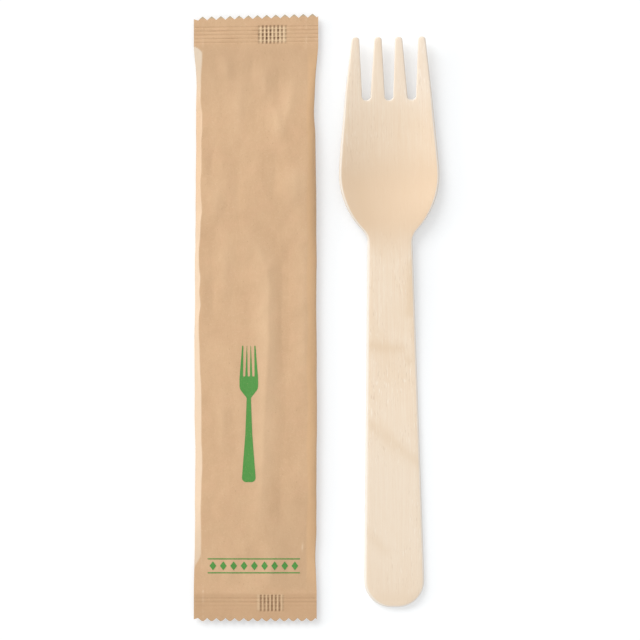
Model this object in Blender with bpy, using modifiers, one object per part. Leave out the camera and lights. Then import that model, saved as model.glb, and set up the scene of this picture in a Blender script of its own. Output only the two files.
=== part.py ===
"""Wooden cutlery pack: a sealed kraft paper sachet and the disposable wooden fork that goes with it.

Both lie flat on a table, side by side. Metres, +Z up, +Y along both pieces towards the fork's tines.
The origin is on the table, under the middle of the pair.
"""

import math

import bmesh
import bpy
import numpy as np
from mathutils import Matrix, Vector, geometry

MM = 0.001

# Sachet: a paper tube with four long creases, crimped flat and pinked at both ends
SACHET_LENGTH = 169.8 * MM
PANEL_WIDTH = 28.9 * MM
LEFT_HALF_WALL = 2.5 * MM
RIGHT_HALF_WALL = 3.4 * MM
PAPER_SEAL_THICKNESS = 0.3 * MM
SEAL_HEIGHT = 1.7 * MM
MOUTH_LENGTH = 11.0 * MM
WALL_ANGLE_AT_HANDLE = math.radians(25)
WALL_ANGLE_AT_HEAD = math.radians(41)
CROWN_AT_HANDLE = 0.45 * MM
CROWN_AT_HEAD = 0.75 * MM
HEAD_BULGE_START = 14.0 * MM
HEAD_BULGE_RUN = 26.0 * MM

# Crimped end seals
TOOTH_PITCH = 2.56 * MM
TOOTH_DEPTH = 1.15 * MM
FIRST_TOOTH = 2.45 * MM
CORNER_SHARE = 0.35
TOP_SKEW = math.radians(0.75)
TOP_SKEW_START = 62.0 * MM
KNIFE_SKEW = math.radians(0.75)
BOTTOM_NARROWING = 0.45 * MM
BOTTOM_NARROWING_START = 58.0 * MM
SEAL_MARGIN = 1.9 * MM
RIB_PITCH = 1.1 * MM
RIB_COUNT = 5
RIB_HEIGHT = 0.14 * MM

# Long fin seal, folded flat on the back, and the print that its crimp leaves in the end seals
FIN_START = 0.3 * MM
FIN_WIDTH = 8.4 * MM
FIN_THICKNESS = 0.3 * MM
FIN_STEP = 0.08 * MM
SAG_FROM_FIN = 1.0 * MM
SAG_RUN = 3.0 * MM
FIN_RIBS = 8
PIT_WIDTH = 0.5 * MM
PIT_LENGTH = 0.72 * MM
PIT_DEPTH = 0.1 * MM
PIT_SLOPE = 0.1 * MM

# Wandering of the long edges and creases, as amplitude and wavelength, and a dent in the right edge
EDGE_WANDER = 0.08 * MM
EDGE_WAVE = 57.0 * MM
RIGHT_DRAW_IN = 0.2 * MM
DENT_AT = 57.7 * MM
DENT_REACH = 5.0 * MM
DENT_DEPTH = 0.4 * MM
CREASE_WANDER = 0.16 * MM
CREASE_WAVE = 23.0 * MM

# Print on the front panel: a plain fork pictogram and a border of lozenges
ICON_FROM_MIDDLE = -2.0 * MM
ICON_FROM_SEAL = 49.7 * MM
ICON_LENGTH = 38.1 * MM
ICON_HEAD_WIDTH = 5.2 * MM
ICON_TIP_WIDTH = 3.7 * MM
ICON_TINE_LENGTH = 8.8 * MM
ICON_HEAD_LENGTH = 14.6 * MM
ICON_GAP = 0.5 * MM
ICON_NECK_WIDTH = 1.3 * MM
ICON_END_WIDTH = 3.8 * MM
BORDER_FROM_SEAL = 7.2 * MM
BORDER_MARGIN = 1.4 * MM
LOZENGE_PITCH = 2.9 * MM
LOZENGE_WIDTH = 1.9 * MM
LOZENGE_HEIGHT = 2.5 * MM
RULE_WIDTH = 0.3 * MM
RULE_GAP = 0.55 * MM

# Fork: die-cut from veneer, then hot-pressed
FORK_LENGTH = 159.4 * MM
VENEER = 1.7 * MM
EDGE_ROUND = 0.25 * MM
HANDLE_END_WIDTH = 16.75 * MM
HANDLE_END_ROUND = 7.4 * MM
HANDLE_TAPER_START = 9.0 * MM
NECK_WIDTH = 12.5 * MM
NECK_FILLET = 5.0 * MM
HEAD_LENGTH = 55.4 * MM
HEAD_WIDTH = 28.1 * MM
SHOULDER_OVERHANG = 0.9 * MM
SHOULDER_FROM_NECK = 8.8 * MM
SHOULDER_ROUND = 22.0 * MM
SIDE_WIDTH = 26.0 * MM
SIDE_FROM_TIP = 23.2 * MM
SIDE_ROUND = 300.0 * MM
TIP_WIDTH = 20.4 * MM
TINE_TIP_WIDTH = 1.95 * MM
TINE_TIP_ROUND = 0.9 * MM
TINE_LEANS = (0.28 * MM, 0.44 * MM, 0.05 * MM, 0.39 * MM)
INNER_TINE_ROOT_WIDTH = 4.15 * MM
SLOT_DEPTH = 17.5 * MM
SLOT_END_WIDTH = 2.3 * MM
SLOT_LEAN = 0.25 * MM
HANDLE_FLAT_LENGTH = 55.0 * MM
NECK_LIFT = 1.5 * MM
BELLY_FROM_NECK = 18.0 * MM
TIP_LIFT = 2.9 * MM
TIP_LIFT_RUN = 46.0 * MM
DISH_DEPTH = 1.8 * MM
DISH_BEFORE_NECK = 8.0 * MM
DISH_AFTER_NECK = 10.0 * MM
DISH_LEFT_AT_TIPS = 0.35

# Lay of the pair on the table
GAP = 5.75 * MM
FORK_TURN = math.radians(0.73)
FORK_OFFSET = -1.0 * MM

# Mesh spacing
SHEET_STEP_U = 1.9 * MM
SHEET_STEP_V = 2.8 * MM
BACK_STEP_U = 3.0 * MM
BACK_STEP_V = 4.2 * MM
EDGE_MARGIN = 0.35 * MM
MOUTH_MARGIN = 0.6 * MM
RIB_STEP = 2.6 * MM
VENEER_STEP = 2.4 * MM
LONG_EDGE_STEP = 3.2 * MM
ARC_STEP = math.radians(10)
POINT_CLEARANCE = 0.55 * MM
MERGE = 0.005 * MM

SACHET_WIDTH = LEFT_HALF_WALL + PANEL_WIDTH + RIGHT_HALF_WALL
SEAL_LENGTH = TOOTH_DEPTH + SEAL_MARGIN + RIB_COUNT * RIB_PITCH
BODY_END = SACHET_LENGTH / 2 - SEAL_LENGTH
BACK_RISE = SEAL_HEIGHT - PAPER_SEAL_THICKNESS / 2 - FIN_THICKNESS
LEFT_CREASE = -SACHET_WIDTH / 2 + LEFT_HALF_WALL
RIGHT_CREASE = SACHET_WIDTH / 2 - RIGHT_HALF_WALL
NECK_AT = FORK_LENGTH - HEAD_LENGTH
BELLY_AT = NECK_AT + BELLY_FROM_NECK

# Folds that handling has left: each a line of points as shares of the half panel and the half body,
# then how high it stands and how far it spreads to each side
FRONT_FOLDS = [
    ([(-0.08, 0.3), (0.32, 0.2), (0.33, -0.08), (0.16, -0.3), (0.08, -0.44), (-0.04, -0.87)], 0.36 * MM, 5.2 * MM),
    ([(0.55, 0.26), (0.53, 0.0), (0.55, -0.25)], -0.26 * MM, 3.4 * MM),
    ([(0.88, 0.32), (0.84, 0.02), (0.88, -0.26)], 0.22 * MM, 3.2 * MM),
    ([(0.82, 0.58), (0.66, 0.42)], 0.42 * MM, 4.4 * MM),
    ([(0.48, 0.59), (0.39, 0.46)], -0.2 * MM, 3.0 * MM),
    ([(0.52, 0.92), (0.44, 0.78)], -0.32 * MM, 3.4 * MM),
    ([(0.23, 0.93), (0.19, 0.8)], 0.28 * MM, 3.2 * MM),
    ([(-0.24, 0.88), (-0.34, 0.68)], 0.34 * MM, 4.6 * MM),
    ([(0.42, 0.78), (0.46, 0.66)], 0.24 * MM, 3.0 * MM),
    ([(0.8, 0.88), (0.56, 0.68)], 0.26 * MM, 3.0 * MM),
    ([(-0.33, 0.58), (-0.31, 0.34)], -0.26 * MM, 4.6 * MM),
    ([(-0.7, 0.48), (-0.76, 0.36)], 0.2 * MM, 2.6 * MM),
    ([(-0.79, 0.64), (-0.85, 0.5)], -0.22 * MM, 2.8 * MM),
    ([(-0.53, 0.29), (-0.56, 0.09)], 0.2 * MM, 3.6 * MM),
    ([(-0.81, 0.24), (-0.8, -0.06)], -0.18 * MM, 2.8 * MM),
    ([(-0.62, -0.24), (-0.6, -0.52)], 0.16 * MM, 3.0 * MM),
    ([(-0.88, -0.66), (-0.76, -0.74)], -0.2 * MM, 2.4 * MM),
    ([(0.48, -0.5), (0.5, -0.8)], -0.16 * MM, 4.0 * MM),
    ([(-0.6, 0.97), (-0.5, 0.87)], 0.3 * MM, 2.4 * MM),
    ([(-0.02, 0.97), (-0.05, 0.88)], -0.24 * MM, 2.4 * MM),
    ([(-0.5, -0.97), (-0.42, -0.87)], 0.26 * MM, 2.4 * MM),
    ([(0.3, -0.97), (0.36, -0.87)], 0.26 * MM, 2.4 * MM),
    ([(0.72, -0.97), (0.62, -0.88)], -0.24 * MM, 2.2 * MM),
]
BACK_FOLDS = [
    ([(-0.3, 0.86), (-0.46, 0.52)], 0.2 * MM, 3.4 * MM),
    ([(-0.7, 0.31), (-0.46, -0.16)], 0.2 * MM, 3.4 * MM),
    ([(-0.4, -0.4), (-0.62, -0.81)], 0.2 * MM, 3.4 * MM),
    ([(0.86, 0.57), (0.88, 0.08)], 0.2 * MM, 1.9 * MM),
    ([(0.87, -0.26), (0.84, -0.76)], 0.16 * MM, 1.9 * MM),
]

KRAFT = ((0.69, 0.46, 0.27), 0.82)
INK = ((0.09, 0.34, 0.07), 0.6)
BIRCH = ((0.86, 0.71, 0.54), 0.62)


def clear_scene():
    for obj in list(bpy.data.objects):
        bpy.data.objects.remove(obj)


def material(name, finish):
    colour, roughness = finish
    made = bpy.data.materials.new(name)
    made.use_nodes = True
    shader = made.node_tree.nodes["Principled BSDF"]
    shader.inputs["Base Color"].default_value = (*colour, 1.0)
    shader.inputs["Roughness"].default_value = roughness
    shader.inputs["Metallic"].default_value = 0.0
    made.diffuse_color = (*colour, 1.0)
    return made


def smooth(t):
    """An S-shaped step from 0 to 1."""
    t = min(1.0, max(0.0, t))
    return t * t * (3 - 2 * t)


def spaced(start, end, step):
    """Evenly spaced values from start to end, both ends included."""
    count = max(1, round(abs(end - start) / step))
    return [start + (end - start) * i / count for i in range(count + 1)]


def rounded(corners, arc_step):
    """A closed outline through the corners, each given as (x, y, radius) and rounded with an arc.

    Two arcs that meet on one side share its length.
    """
    points = [Vector((x, y)) for x, y, _ in corners]
    count = len(points)
    before = [(points[i - 1] - points[i]).normalized() for i in range(count)]
    after = [(points[(i + 1) % count] - points[i]).normalized() for i in range(count)]
    openings = [b.angle(a) for b, a in zip(before, after)]
    reaches = [radius / math.tan(opening / 2) for (_, _, radius), opening in zip(corners, openings)]
    fits = [1.0] * count
    for i in range(count):
        wanted = reaches[i - 1] + reaches[i]
        room = (points[i] - points[i - 1]).length
        if wanted > room:
            fits[i - 1] = min(fits[i - 1], room / wanted)
            fits[i] = min(fits[i], room / wanted)
    outline = []
    for i, (_, _, radius) in enumerate(corners):
        if radius == 0:
            outline.append(points[i])
            continue
        centre = points[i] + (before[i] + after[i]).normalized() * (radius * fits[i] / math.sin(openings[i] / 2))
        first = points[i] + before[i] * reaches[i] * fits[i] - centre
        last = points[i] + after[i] * reaches[i] * fits[i] - centre
        turn = first.angle_signed(last)
        steps = max(1, math.ceil(abs(turn) / arc_step))
        outline += [centre + Matrix.Rotation(-turn * k / steps, 2) @ first for k in range(steps + 1)]
    return [p for p, q in zip(outline, outline[-1:] + outline[:-1]) if (p - q).length > MERGE]


def divided(line, step, closed=False):
    """The line with points added along its long straight runs."""
    result = []
    for a, b in zip(line, line[1:] + line[:1]):
        count = max(1, math.ceil((b - a).length / step - 1e-6))
        result += [a.lerp(b, i / count) for i in range(count)]
    return result if closed else result[: result.index(line[-1]) + 1]


def distance_to_line(point, line):
    """The distance from a point to a line of points, and how far along the line it is, from 0 to 1."""
    best, along = math.inf, 0.0
    lengths = [(b - a).length for a, b in zip(line, line[1:])]
    total, passed = sum(lengths), 0.0
    for (a, b), length in zip(zip(line, line[1:]), lengths):
        nearest, t = geometry.intersect_point_line(point, a, b)
        t = min(1.0, max(0.0, t))
        distance = (point - a.lerp(b, t)).length
        if distance < best:
            best, along = distance, (passed + t * length) / total
        passed += length
    return best, along


def fold_lines(folds):
    """The folds laid out on the panel."""
    middle = (LEFT_CREASE + RIGHT_CREASE) / 2
    laid_out = []
    for line, height, spread in folds:
        points = [Vector((middle + share_u * PANEL_WIDTH / 2, share_v * BODY_END)) for share_u, share_v in line]
        laid_out.append((divided(points, SHEET_STEP_V), height, spread))
    return laid_out


FRONT_FOLD_LINES = fold_lines(FRONT_FOLDS)
BACK_FOLD_LINES = fold_lines(BACK_FOLDS)


def fold_relief(point, folds):
    """How far the folds lift the paper at a point. Each dies away to its sides and to its ends."""
    lift = 0.0
    for line, height, spread in folds:
        distance, along = distance_to_line(point, line)
        if distance < spread:
            lift += height * (1 - distance / spread) ** 1.4 * math.sin(math.pi * (0.08 + 0.84 * along))
    return lift


def clear_of(points, guides):
    """The points that keep their distance from every guide line."""
    starts = np.array([p for guide in guides for p in guide[:-1]])
    runs = np.array([p for guide in guides for p in guide[1:]]) - starts
    kept = []
    for point in points:
        away = np.array(point) - starts
        t = np.clip((away * runs).sum(axis=1) / (runs * runs).sum(axis=1), 0, 1)
        if np.linalg.norm(away - runs * t[:, None], axis=1).min() > POINT_CLEARANCE:
            kept.append(point)
    return kept


def pattern(outline, lines, fields, points):
    """Triangulates a flat cut pattern.

    Lines are kept as edges. Fields are closed outlines, such as print. Returns the points, the
    triangles, the field that each triangle is in or None, and the outline's points in order.
    """
    coords, edges, faces = list(outline), [], [list(range(len(outline)))]
    for field in fields:
        faces.append(list(range(len(coords), len(coords) + len(field))))
        coords += field
    for line in lines:
        first = len(coords)
        coords += line
        edges += [(first + i, first + i + 1) for i in range(len(line) - 1)]
    closed = [loop + loop[:1] for loop in [list(outline)] + fields]
    coords += clear_of(points, closed + lines)
    flat, _, triangles, sources, _, inside = geometry.delaunay_2d_cdt(coords, edges, faces, 1, MERGE)
    rim_of = {old: new for new, olds in enumerate(sources) for old in olds}
    rim = [rim_of[i] for i in range(len(outline))]
    field_of = [max(owners) - 1 if max(owners) > 0 else None for owners in inside]
    return flat, triangles, field_of, rim


def tube_opening(v):
    """How far the tube stands open: 0 in the flat seals and 1 past the mouths, with a crease at the seals."""
    t = min(1.0, max(0.0, (BODY_END - abs(v)) / MOUTH_LENGTH))
    return 1 - (1 - t) ** 2


def over_head(v):
    """0 over the handle of the fork inside and 1 over its head."""
    return smooth((v - HEAD_BULGE_START) / HEAD_BULGE_RUN)


def crease_rise(v):
    """How high the front creases stand over the seals."""
    angle = WALL_ANGLE_AT_HANDLE + (WALL_ANGLE_AT_HEAD - WALL_ANGLE_AT_HANDLE) * over_head(v)
    return LEFT_HALF_WALL * math.sin(angle * tube_opening(v))


def crown(v):
    """How high the front panel domes between its creases."""
    return tube_opening(v) * (CROWN_AT_HANDLE + (CROWN_AT_HEAD - CROWN_AT_HANDLE) * over_head(v))


def left_crease(v):
    return LEFT_CREASE + CREASE_WANDER * tube_opening(v) * math.sin(math.tau * v / CREASE_WAVE)


def right_crease(v):
    return RIGHT_CREASE + CREASE_WANDER * tube_opening(v) * math.sin(math.tau * v / CREASE_WAVE + 2)


def reach(half_wall, rise):
    """The width in plan of a half side wall that stands up by rise."""
    return math.sqrt(half_wall**2 - rise**2)


def edge_wander(v, phase):
    """How far in from its drawn place a long edge runs."""
    wave = math.sin(math.tau * v / EDGE_WAVE + phase) + 0.5 * math.sin(math.tau * 2.7 * v / EDGE_WAVE + phase)
    return EDGE_WANDER * tube_opening(v) * wave


def left_edge(v):
    return LEFT_CREASE - reach(LEFT_HALF_WALL, crease_rise(v)) + edge_wander(v, 0)


def right_edge(v):
    drawn_in = RIGHT_DRAW_IN * tube_opening(v) + edge_wander(v, 1)
    dent = DENT_DEPTH * math.exp(-(((v - DENT_AT) / DENT_REACH) ** 2))
    return RIGHT_CREASE + reach(RIGHT_HALF_WALL, crease_rise(v)) - drawn_in - dent


def rib_lift(v):
    """The corrugation that the crimping jaws press into both end seals."""
    from_body = abs(v) - BODY_END
    if not 0 < from_body < RIB_COUNT * RIB_PITCH:
        return 0.0
    phase = (from_body / RIB_PITCH) % 1.0
    return RIB_HEIGHT / 2 * (1 - 2 * abs(2 * phase - 1))


def wall_share(u, v):
    """0 at the outer edge of a side wall, 1 from the crease inwards. The right wall is rounded, not creased."""
    left = min(1.0, max(0.0, (u - left_edge(v)) / (left_crease(v) - left_edge(v))))
    right = min(1.0, max(0.0, (right_edge(v) - u) / (right_edge(v) - right_crease(v))))
    return min(left, math.sin(math.pi / 2 * right))


def across_panel(u, v):
    """1 along the middle of the panel and 0 at its creases."""
    t = (u - left_crease(v)) / (right_crease(v) - left_crease(v))
    return max(0.0, 1 - (2 * t - 1) ** 2)


def front_height(u, v):
    share = wall_share(u, v)
    folds = fold_relief(Vector((u, v)), FRONT_FOLD_LINES) * tube_opening(v)
    rise = crease_rise(v) * share + crown(v) * across_panel(u, v) + folds * share
    return SEAL_HEIGHT + PAPER_SEAL_THICKNESS / 2 + rib_lift(v) + rise


def back_height(u, v):
    share = wall_share(u, v)
    in_fin = FIN_START - MERGE < u < FIN_START + FIN_WIDTH + MERGE
    sag = smooth((FIN_START - SAG_FROM_FIN - u) / SAG_RUN) * smooth((u - LEFT_CREASE) / SAG_RUN) * tube_opening(v)
    flap = FIN_THICKNESS * (1.0 if in_fin else sag)
    near_fin = FIN_START - 3 * MM < u < FIN_START + FIN_WIDTH + 2 * MM
    folds = 0.0 if near_fin else fold_relief(Vector((u, v)), BACK_FOLD_LINES) * tube_opening(v)
    drop = BACK_RISE * tube_opening(v) * share - max(0.0, folds * share)
    return SEAL_HEIGHT - PAPER_SEAL_THICKNESS / 2 + rib_lift(v) - drop - flap


def sachet_outline():
    """The cut outline, anticlockwise: straight sides, and teeth from the pinking knife at the ends."""
    root = SACHET_LENGTH / 2 - TOOTH_DEPTH
    corner = root + CORNER_SHARE * TOOTH_DEPTH
    teeth = int((SACHET_WIDTH - FIRST_TOOTH) / TOOTH_PITCH - CORNER_SHARE) + 1
    knife = [(-SACHET_WIDTH / 2, corner)]
    for i in range(teeth):
        peak = -SACHET_WIDTH / 2 + FIRST_TOOTH + TOOTH_PITCH * i
        knife += [(peak - TOOTH_PITCH / 2, root), (peak, root + TOOTH_DEPTH)]
    knife += [(peak + TOOTH_PITCH / 2, root), (SACHET_WIDTH / 2, corner)]
    sides = spaced(-root, root, SHEET_STEP_V)[1:-1]
    bottom = [Vector((u, -v)) for u, v in knife]
    right = [Vector((right_edge(v), v)) for v in sides]
    top = [Vector((u, v)) for u, v in reversed(knife)]
    left = [Vector((left_edge(v), v)) for v in reversed(sides)]
    return bottom + right + top + left


def rib_lines():
    """The crests and hollows of the ribs, across both seals and just inside the cut edges."""
    lines = []
    for end in (-1, 1):
        for i in range(2 * RIB_COUNT + 1):
            v = end * (BODY_END + RIB_PITCH * i / 2)
            across = spaced(left_edge(v) + EDGE_MARGIN, right_edge(v) - EDGE_MARGIN, RIB_STEP)
            lines.append([Vector((u, v)) for u in across])
    return lines


def wall_lines():
    """The left crease, the fold half way down its wall, and the lines that round the right wall."""
    stations = spaced(-BODY_END + MOUTH_MARGIN, BODY_END - MOUTH_MARGIN, SHEET_STEP_V)
    lines = []
    for share in (0.5, 1.0):
        lines.append([Vector((left_edge(v) + (left_crease(v) - left_edge(v)) * share, v)) for v in stations])
    for share in (0.32, 0.66, 1.0):
        lines.append([Vector((right_edge(v) + (right_crease(v) - right_edge(v)) * share, v)) for v in stations])
    return lines


def fin_lines():
    """The fin's fold and its free edge, each as a small step."""
    end = SACHET_LENGTH / 2 - TOOTH_DEPTH - EDGE_MARGIN
    steps = [FIN_START - FIN_STEP, FIN_START, FIN_START + FIN_WIDTH, FIN_START + FIN_WIDTH + FIN_STEP]
    return [[Vector((u, v)) for v in spaced(-end, end, SHEET_STEP_V)] for u in steps]


def pit_fields():
    """The rim and the floor of each pit where the fin's ribs cross the ribs of the end seals."""
    rims, floors = [], []
    pitch = FIN_WIDTH / FIN_RIBS
    for end in (-1, 1):
        for row in range(RIB_COUNT):
            v = end * (BODY_END + RIB_PITCH * (row + 0.5))
            for column in range(FIN_RIBS):
                u = FIN_START + pitch * (column + 0.5)
                rims.append(rectangle(u, v, PIT_WIDTH, PIT_LENGTH))
                floors.append(rectangle(u, v, PIT_WIDTH - 2 * PIT_SLOPE, PIT_LENGTH - 2 * PIT_SLOPE))
    return rims, floors


def rectangle(u, v, width, height):
    """Four corners, anticlockwise."""
    signs = [(-1, -1), (1, -1), (1, 1), (-1, 1)]
    return [Vector((u + width / 2 * i, v + height / 2 * k)) for i, k in signs]


def icon_outline():
    """The fork pictogram: four tines, a rounded head and a handle that widens to its end."""
    centre = Vector((ICON_FROM_MIDDLE, ICON_FROM_SEAL - BODY_END))
    top = ICON_LENGTH / 2
    root = top - ICON_TINE_LENGTH
    neck = top - ICON_HEAD_LENGTH
    tine_pitch_tip = (ICON_TIP_WIDTH + ICON_GAP) / 4
    tine_pitch_root = (ICON_HEAD_WIDTH * 0.9 + ICON_GAP) / 4
    corners = [
        (-ICON_END_WIDTH / 2, -top, 1.2 * MM),
        (ICON_END_WIDTH / 2, -top, 1.2 * MM),
        (ICON_NECK_WIDTH / 2, neck, 0.8 * MM),
        (ICON_HEAD_WIDTH / 2, neck + 2.6 * MM, 1.6 * MM),
        (ICON_HEAD_WIDTH / 2, root - 0.6 * MM, 8.0 * MM),
        (ICON_TIP_WIDTH / 2, top, 0.15 * MM),
    ]
    for gap in (1, 0, -1):
        tip_u, root_u = gap * tine_pitch_tip, gap * tine_pitch_root
        tip_gap = (ICON_GAP + tine_pitch_tip * 0.45) / 2
        corners += [
            (tip_u + tip_gap, top, 0.15 * MM),
            (root_u + ICON_GAP / 2, root, 0.1 * MM),
            (root_u - ICON_GAP / 2, root, 0.1 * MM),
            (tip_u - tip_gap, top, 0.15 * MM),
        ]
    corners += [
        (-ICON_TIP_WIDTH / 2, top, 0.15 * MM),
        (-ICON_HEAD_WIDTH / 2, root - 0.6 * MM, 8.0 * MM),
        (-ICON_HEAD_WIDTH / 2, neck + 2.6 * MM, 1.6 * MM),
        (-ICON_NECK_WIDTH / 2, neck, 0.8 * MM),
    ]
    return divided([p + centre for p in rounded(corners, 2 * ARC_STEP)], SHEET_STEP_V, closed=True)


def border_fields():
    """A row of lozenges between two thin rules, across the panel."""
    fields = []
    middle = (LEFT_CREASE + RIGHT_CREASE) / 2
    level = BORDER_FROM_SEAL - BODY_END
    length = PANEL_WIDTH - 2 * BORDER_MARGIN
    count = int(length / LOZENGE_PITCH)
    for i in range(count):
        u = middle + LOZENGE_PITCH * (i - (count - 1) / 2)
        half_w, half_h = LOZENGE_WIDTH / 2, LOZENGE_HEIGHT / 2
        fields.append([Vector((u + a * half_w, level + b * half_h)) for a, b in ((-1, 0), (0, -1), (1, 0), (0, 1))])
    for side in (-1, 1):
        v = level + side * (LOZENGE_HEIGHT / 2 + RULE_GAP + RULE_WIDTH / 2)
        fields.append(divided(rectangle(middle, v, length, RULE_WIDTH), SHEET_STEP_V, closed=True))
    return fields


def sheet_points(step_u, step_v):
    """Points spread in staggered rows over the panel between the creases and the seals."""
    end = BODY_END - 2 * MOUTH_MARGIN
    points = []
    for k, v in enumerate(spaced(-end, end, step_v)):
        row = spaced(left_crease(v), right_crease(v), step_u)
        if k % 2:
            row = [(a + b) / 2 for a, b in zip(row, row[1:])]
        points += [Vector((u, v)) for u in row]
    return points


def build_sachet(kraft, ink):
    """One closed solid: the front and the back are cut from one outline, lifted to shape and joined at the rim."""
    outline = sachet_outline()
    walls = wall_lines()
    ribs = rib_lines()
    rims, floors = pit_fields()
    print_fields = [icon_outline()] + border_fields()
    front_lines = walls + ribs + [line for line, _, _ in FRONT_FOLD_LINES]
    front = pattern(outline, front_lines, print_fields + rims + floors, sheet_points(SHEET_STEP_U, SHEET_STEP_V))
    back_lines = walls + ribs + fin_lines() + [line for line, _, _ in BACK_FOLD_LINES]
    back = pattern(outline, back_lines, [], sheet_points(BACK_STEP_U, BACK_STEP_V))

    def pit_drop(p):
        """The depth of the pit that the point is on the floor of, or 0."""
        on_floor = any(
            floor[0].x - MERGE <= p.x <= floor[2].x + MERGE and floor[0].y - MERGE <= p.y <= floor[2].y + MERGE
            for floor in floors
        )
        return PIT_DEPTH if on_floor else 0.0

    def laid(p, z):
        """A pattern point on the sachet, cut a little askew at the top and narrower on the bottom right."""
        askew = p.x * math.tan(TOP_SKEW) * smooth((p.y - TOP_SKEW_START) / MOUTH_LENGTH)
        askew += p.x * math.tan(KNIFE_SKEW) * smooth((p.y - BODY_END - RIB_COUNT * RIB_PITCH) / SEAL_MARGIN)
        drawn_in = BOTTOM_NARROWING * smooth((-p.y - BOTTOM_NARROWING_START) / MOUTH_LENGTH)
        return (p.x - drawn_in * max(0.0, 2 * p.x / SACHET_WIDTH), p.y + askew, z)

    shape = bmesh.new()
    rim_verts = []
    for side, (flat, triangles, field_of, rim) in enumerate((front, back)):
        if side == 0:
            verts = [shape.verts.new(laid(p, front_height(p.x, p.y) - pit_drop(p))) for p in flat]
        else:
            verts = [shape.verts.new(laid(p, back_height(p.x, p.y))) for p in flat]
        for triangle, field in zip(triangles, field_of):
            face = shape.faces.new([verts[i] for i in triangle])
            printed = side == 0 and field is not None and field < len(print_fields)
            face.material_index = 1 if printed else 0
        rim_verts.append([verts[i] for i in rim])
    for i in range(len(outline)):
        shape.faces.new((rim_verts[0][i - 1], rim_verts[0][i], rim_verts[1][i], rim_verts[1][i - 1]))
    bmesh.ops.recalc_face_normals(shape, faces=shape.faces)

    mesh = bpy.data.meshes.new("paper_sachet")
    shape.to_mesh(mesh)
    shape.free()
    mesh.materials.append(kraft)
    mesh.materials.append(ink)
    mesh.shade_smooth()
    mesh.set_sharp_from_angle(angle=math.radians(28))
    sachet = bpy.data.objects.new("paper_sachet", mesh)
    return sachet


def fork_outline():
    """The die-cut outline, anticlockwise from the handle's end, with its length along +Y from 0."""
    slot_end = FORK_LENGTH - SLOT_DEPTH
    tine_pitch = (TIP_WIDTH - TINE_TIP_WIDTH) / 3
    slot_pitch = SLOT_END_WIDTH + INNER_TINE_ROOT_WIDTH
    side = [
        (HANDLE_END_WIDTH / 2, 0.0, HANDLE_END_ROUND),
        (HANDLE_END_WIDTH / 2, HANDLE_TAPER_START, 0.0),
        (NECK_WIDTH / 2, NECK_AT, NECK_FILLET),
        (HEAD_WIDTH / 2 + SHOULDER_OVERHANG, NECK_AT + SHOULDER_FROM_NECK, SHOULDER_ROUND),
        (SIDE_WIDTH / 2, FORK_LENGTH - SIDE_FROM_TIP, SIDE_ROUND),
    ]
    corners = list(side)
    for i in (3, 2, 1, 0):
        tine = tine_pitch * (i - 1.5) + TINE_LEANS[i]
        slot = slot_pitch * (i - 2) + SLOT_LEAN
        corners.append((tine + TINE_TIP_WIDTH / 2, FORK_LENGTH, TINE_TIP_ROUND))
        corners.append((tine - TINE_TIP_WIDTH / 2, FORK_LENGTH, TINE_TIP_ROUND))
        if i > 0:
            corners.append((slot + SLOT_END_WIDTH / 2, slot_end, SLOT_END_WIDTH / 2))
            corners.append((slot - SLOT_END_WIDTH / 2, slot_end, SLOT_END_WIDTH / 2))
    corners += [(-x, y, radius) for x, y, radius in reversed(side)]
    return divided(rounded(corners, ARC_STEP), LONG_EDGE_STEP, closed=True)


def pressed_height(x, y):
    """The underside of the pressed veneer: flat handle, raised neck, dished head and rising tines."""
    neck = NECK_LIFT * smooth((y - HANDLE_FLAT_LENGTH) / (NECK_AT - HANDLE_FLAT_LENGTH))
    if y > NECK_AT:
        neck = NECK_LIFT * (1 - smooth((y - NECK_AT) / (BELLY_AT - NECK_AT)))
    tip = TIP_LIFT * smooth((y - BELLY_AT) / TIP_LIFT_RUN)
    dish_in = smooth((y - NECK_AT + DISH_BEFORE_NECK) / (DISH_BEFORE_NECK + DISH_AFTER_NECK))
    dish_out = 1 - (1 - DISH_LEFT_AT_TIPS) * smooth((y - BELLY_AT) / (FORK_LENGTH - BELLY_AT))
    dish = DISH_DEPTH * dish_in * dish_out * (2 * x / HEAD_WIDTH) ** 2
    return neck + tip + dish


def build_fork(birch):
    """The veneer blank, pressed to shape, thickened and tumbled smooth at its edges."""
    outline = fork_outline()
    points = []
    for k, y in enumerate(spaced(0.0, FORK_LENGTH, VENEER_STEP)):
        shift = VENEER_STEP / 2 if k % 2 else 0.0
        for x in spaced(-HEAD_WIDTH / 2, HEAD_WIDTH / 2, VENEER_STEP):
            points.append(Vector((x + shift, y)))
    flat, triangles, _, _ = pattern(outline, [], [], points)
    shape = bmesh.new()
    verts = [shape.verts.new((p.x, p.y, pressed_height(p.x, p.y))) for p in flat]
    for triangle in triangles:
        shape.faces.new([verts[i] for i in triangle])
    bmesh.ops.recalc_face_normals(shape, faces=shape.faces)
    if sum(face.normal.z for face in shape.faces) < 0:
        bmesh.ops.reverse_faces(shape, faces=shape.faces)

    mesh = bpy.data.meshes.new("wooden_fork")
    shape.to_mesh(mesh)
    shape.free()
    mesh.materials.append(birch)
    fork = bpy.data.objects.new("wooden_fork", mesh)
    veneer = fork.modifiers.new("veneer", "SOLIDIFY")
    veneer.thickness = VENEER
    veneer.offset = 1.0
    veneer.use_even_offset = True
    tumbled = fork.modifiers.new("tumbled_edges", "BEVEL")
    tumbled.width = EDGE_ROUND
    tumbled.segments = 1
    tumbled.limit_method = "ANGLE"
    tumbled.angle_limit = math.radians(60)
    return fork


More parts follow.
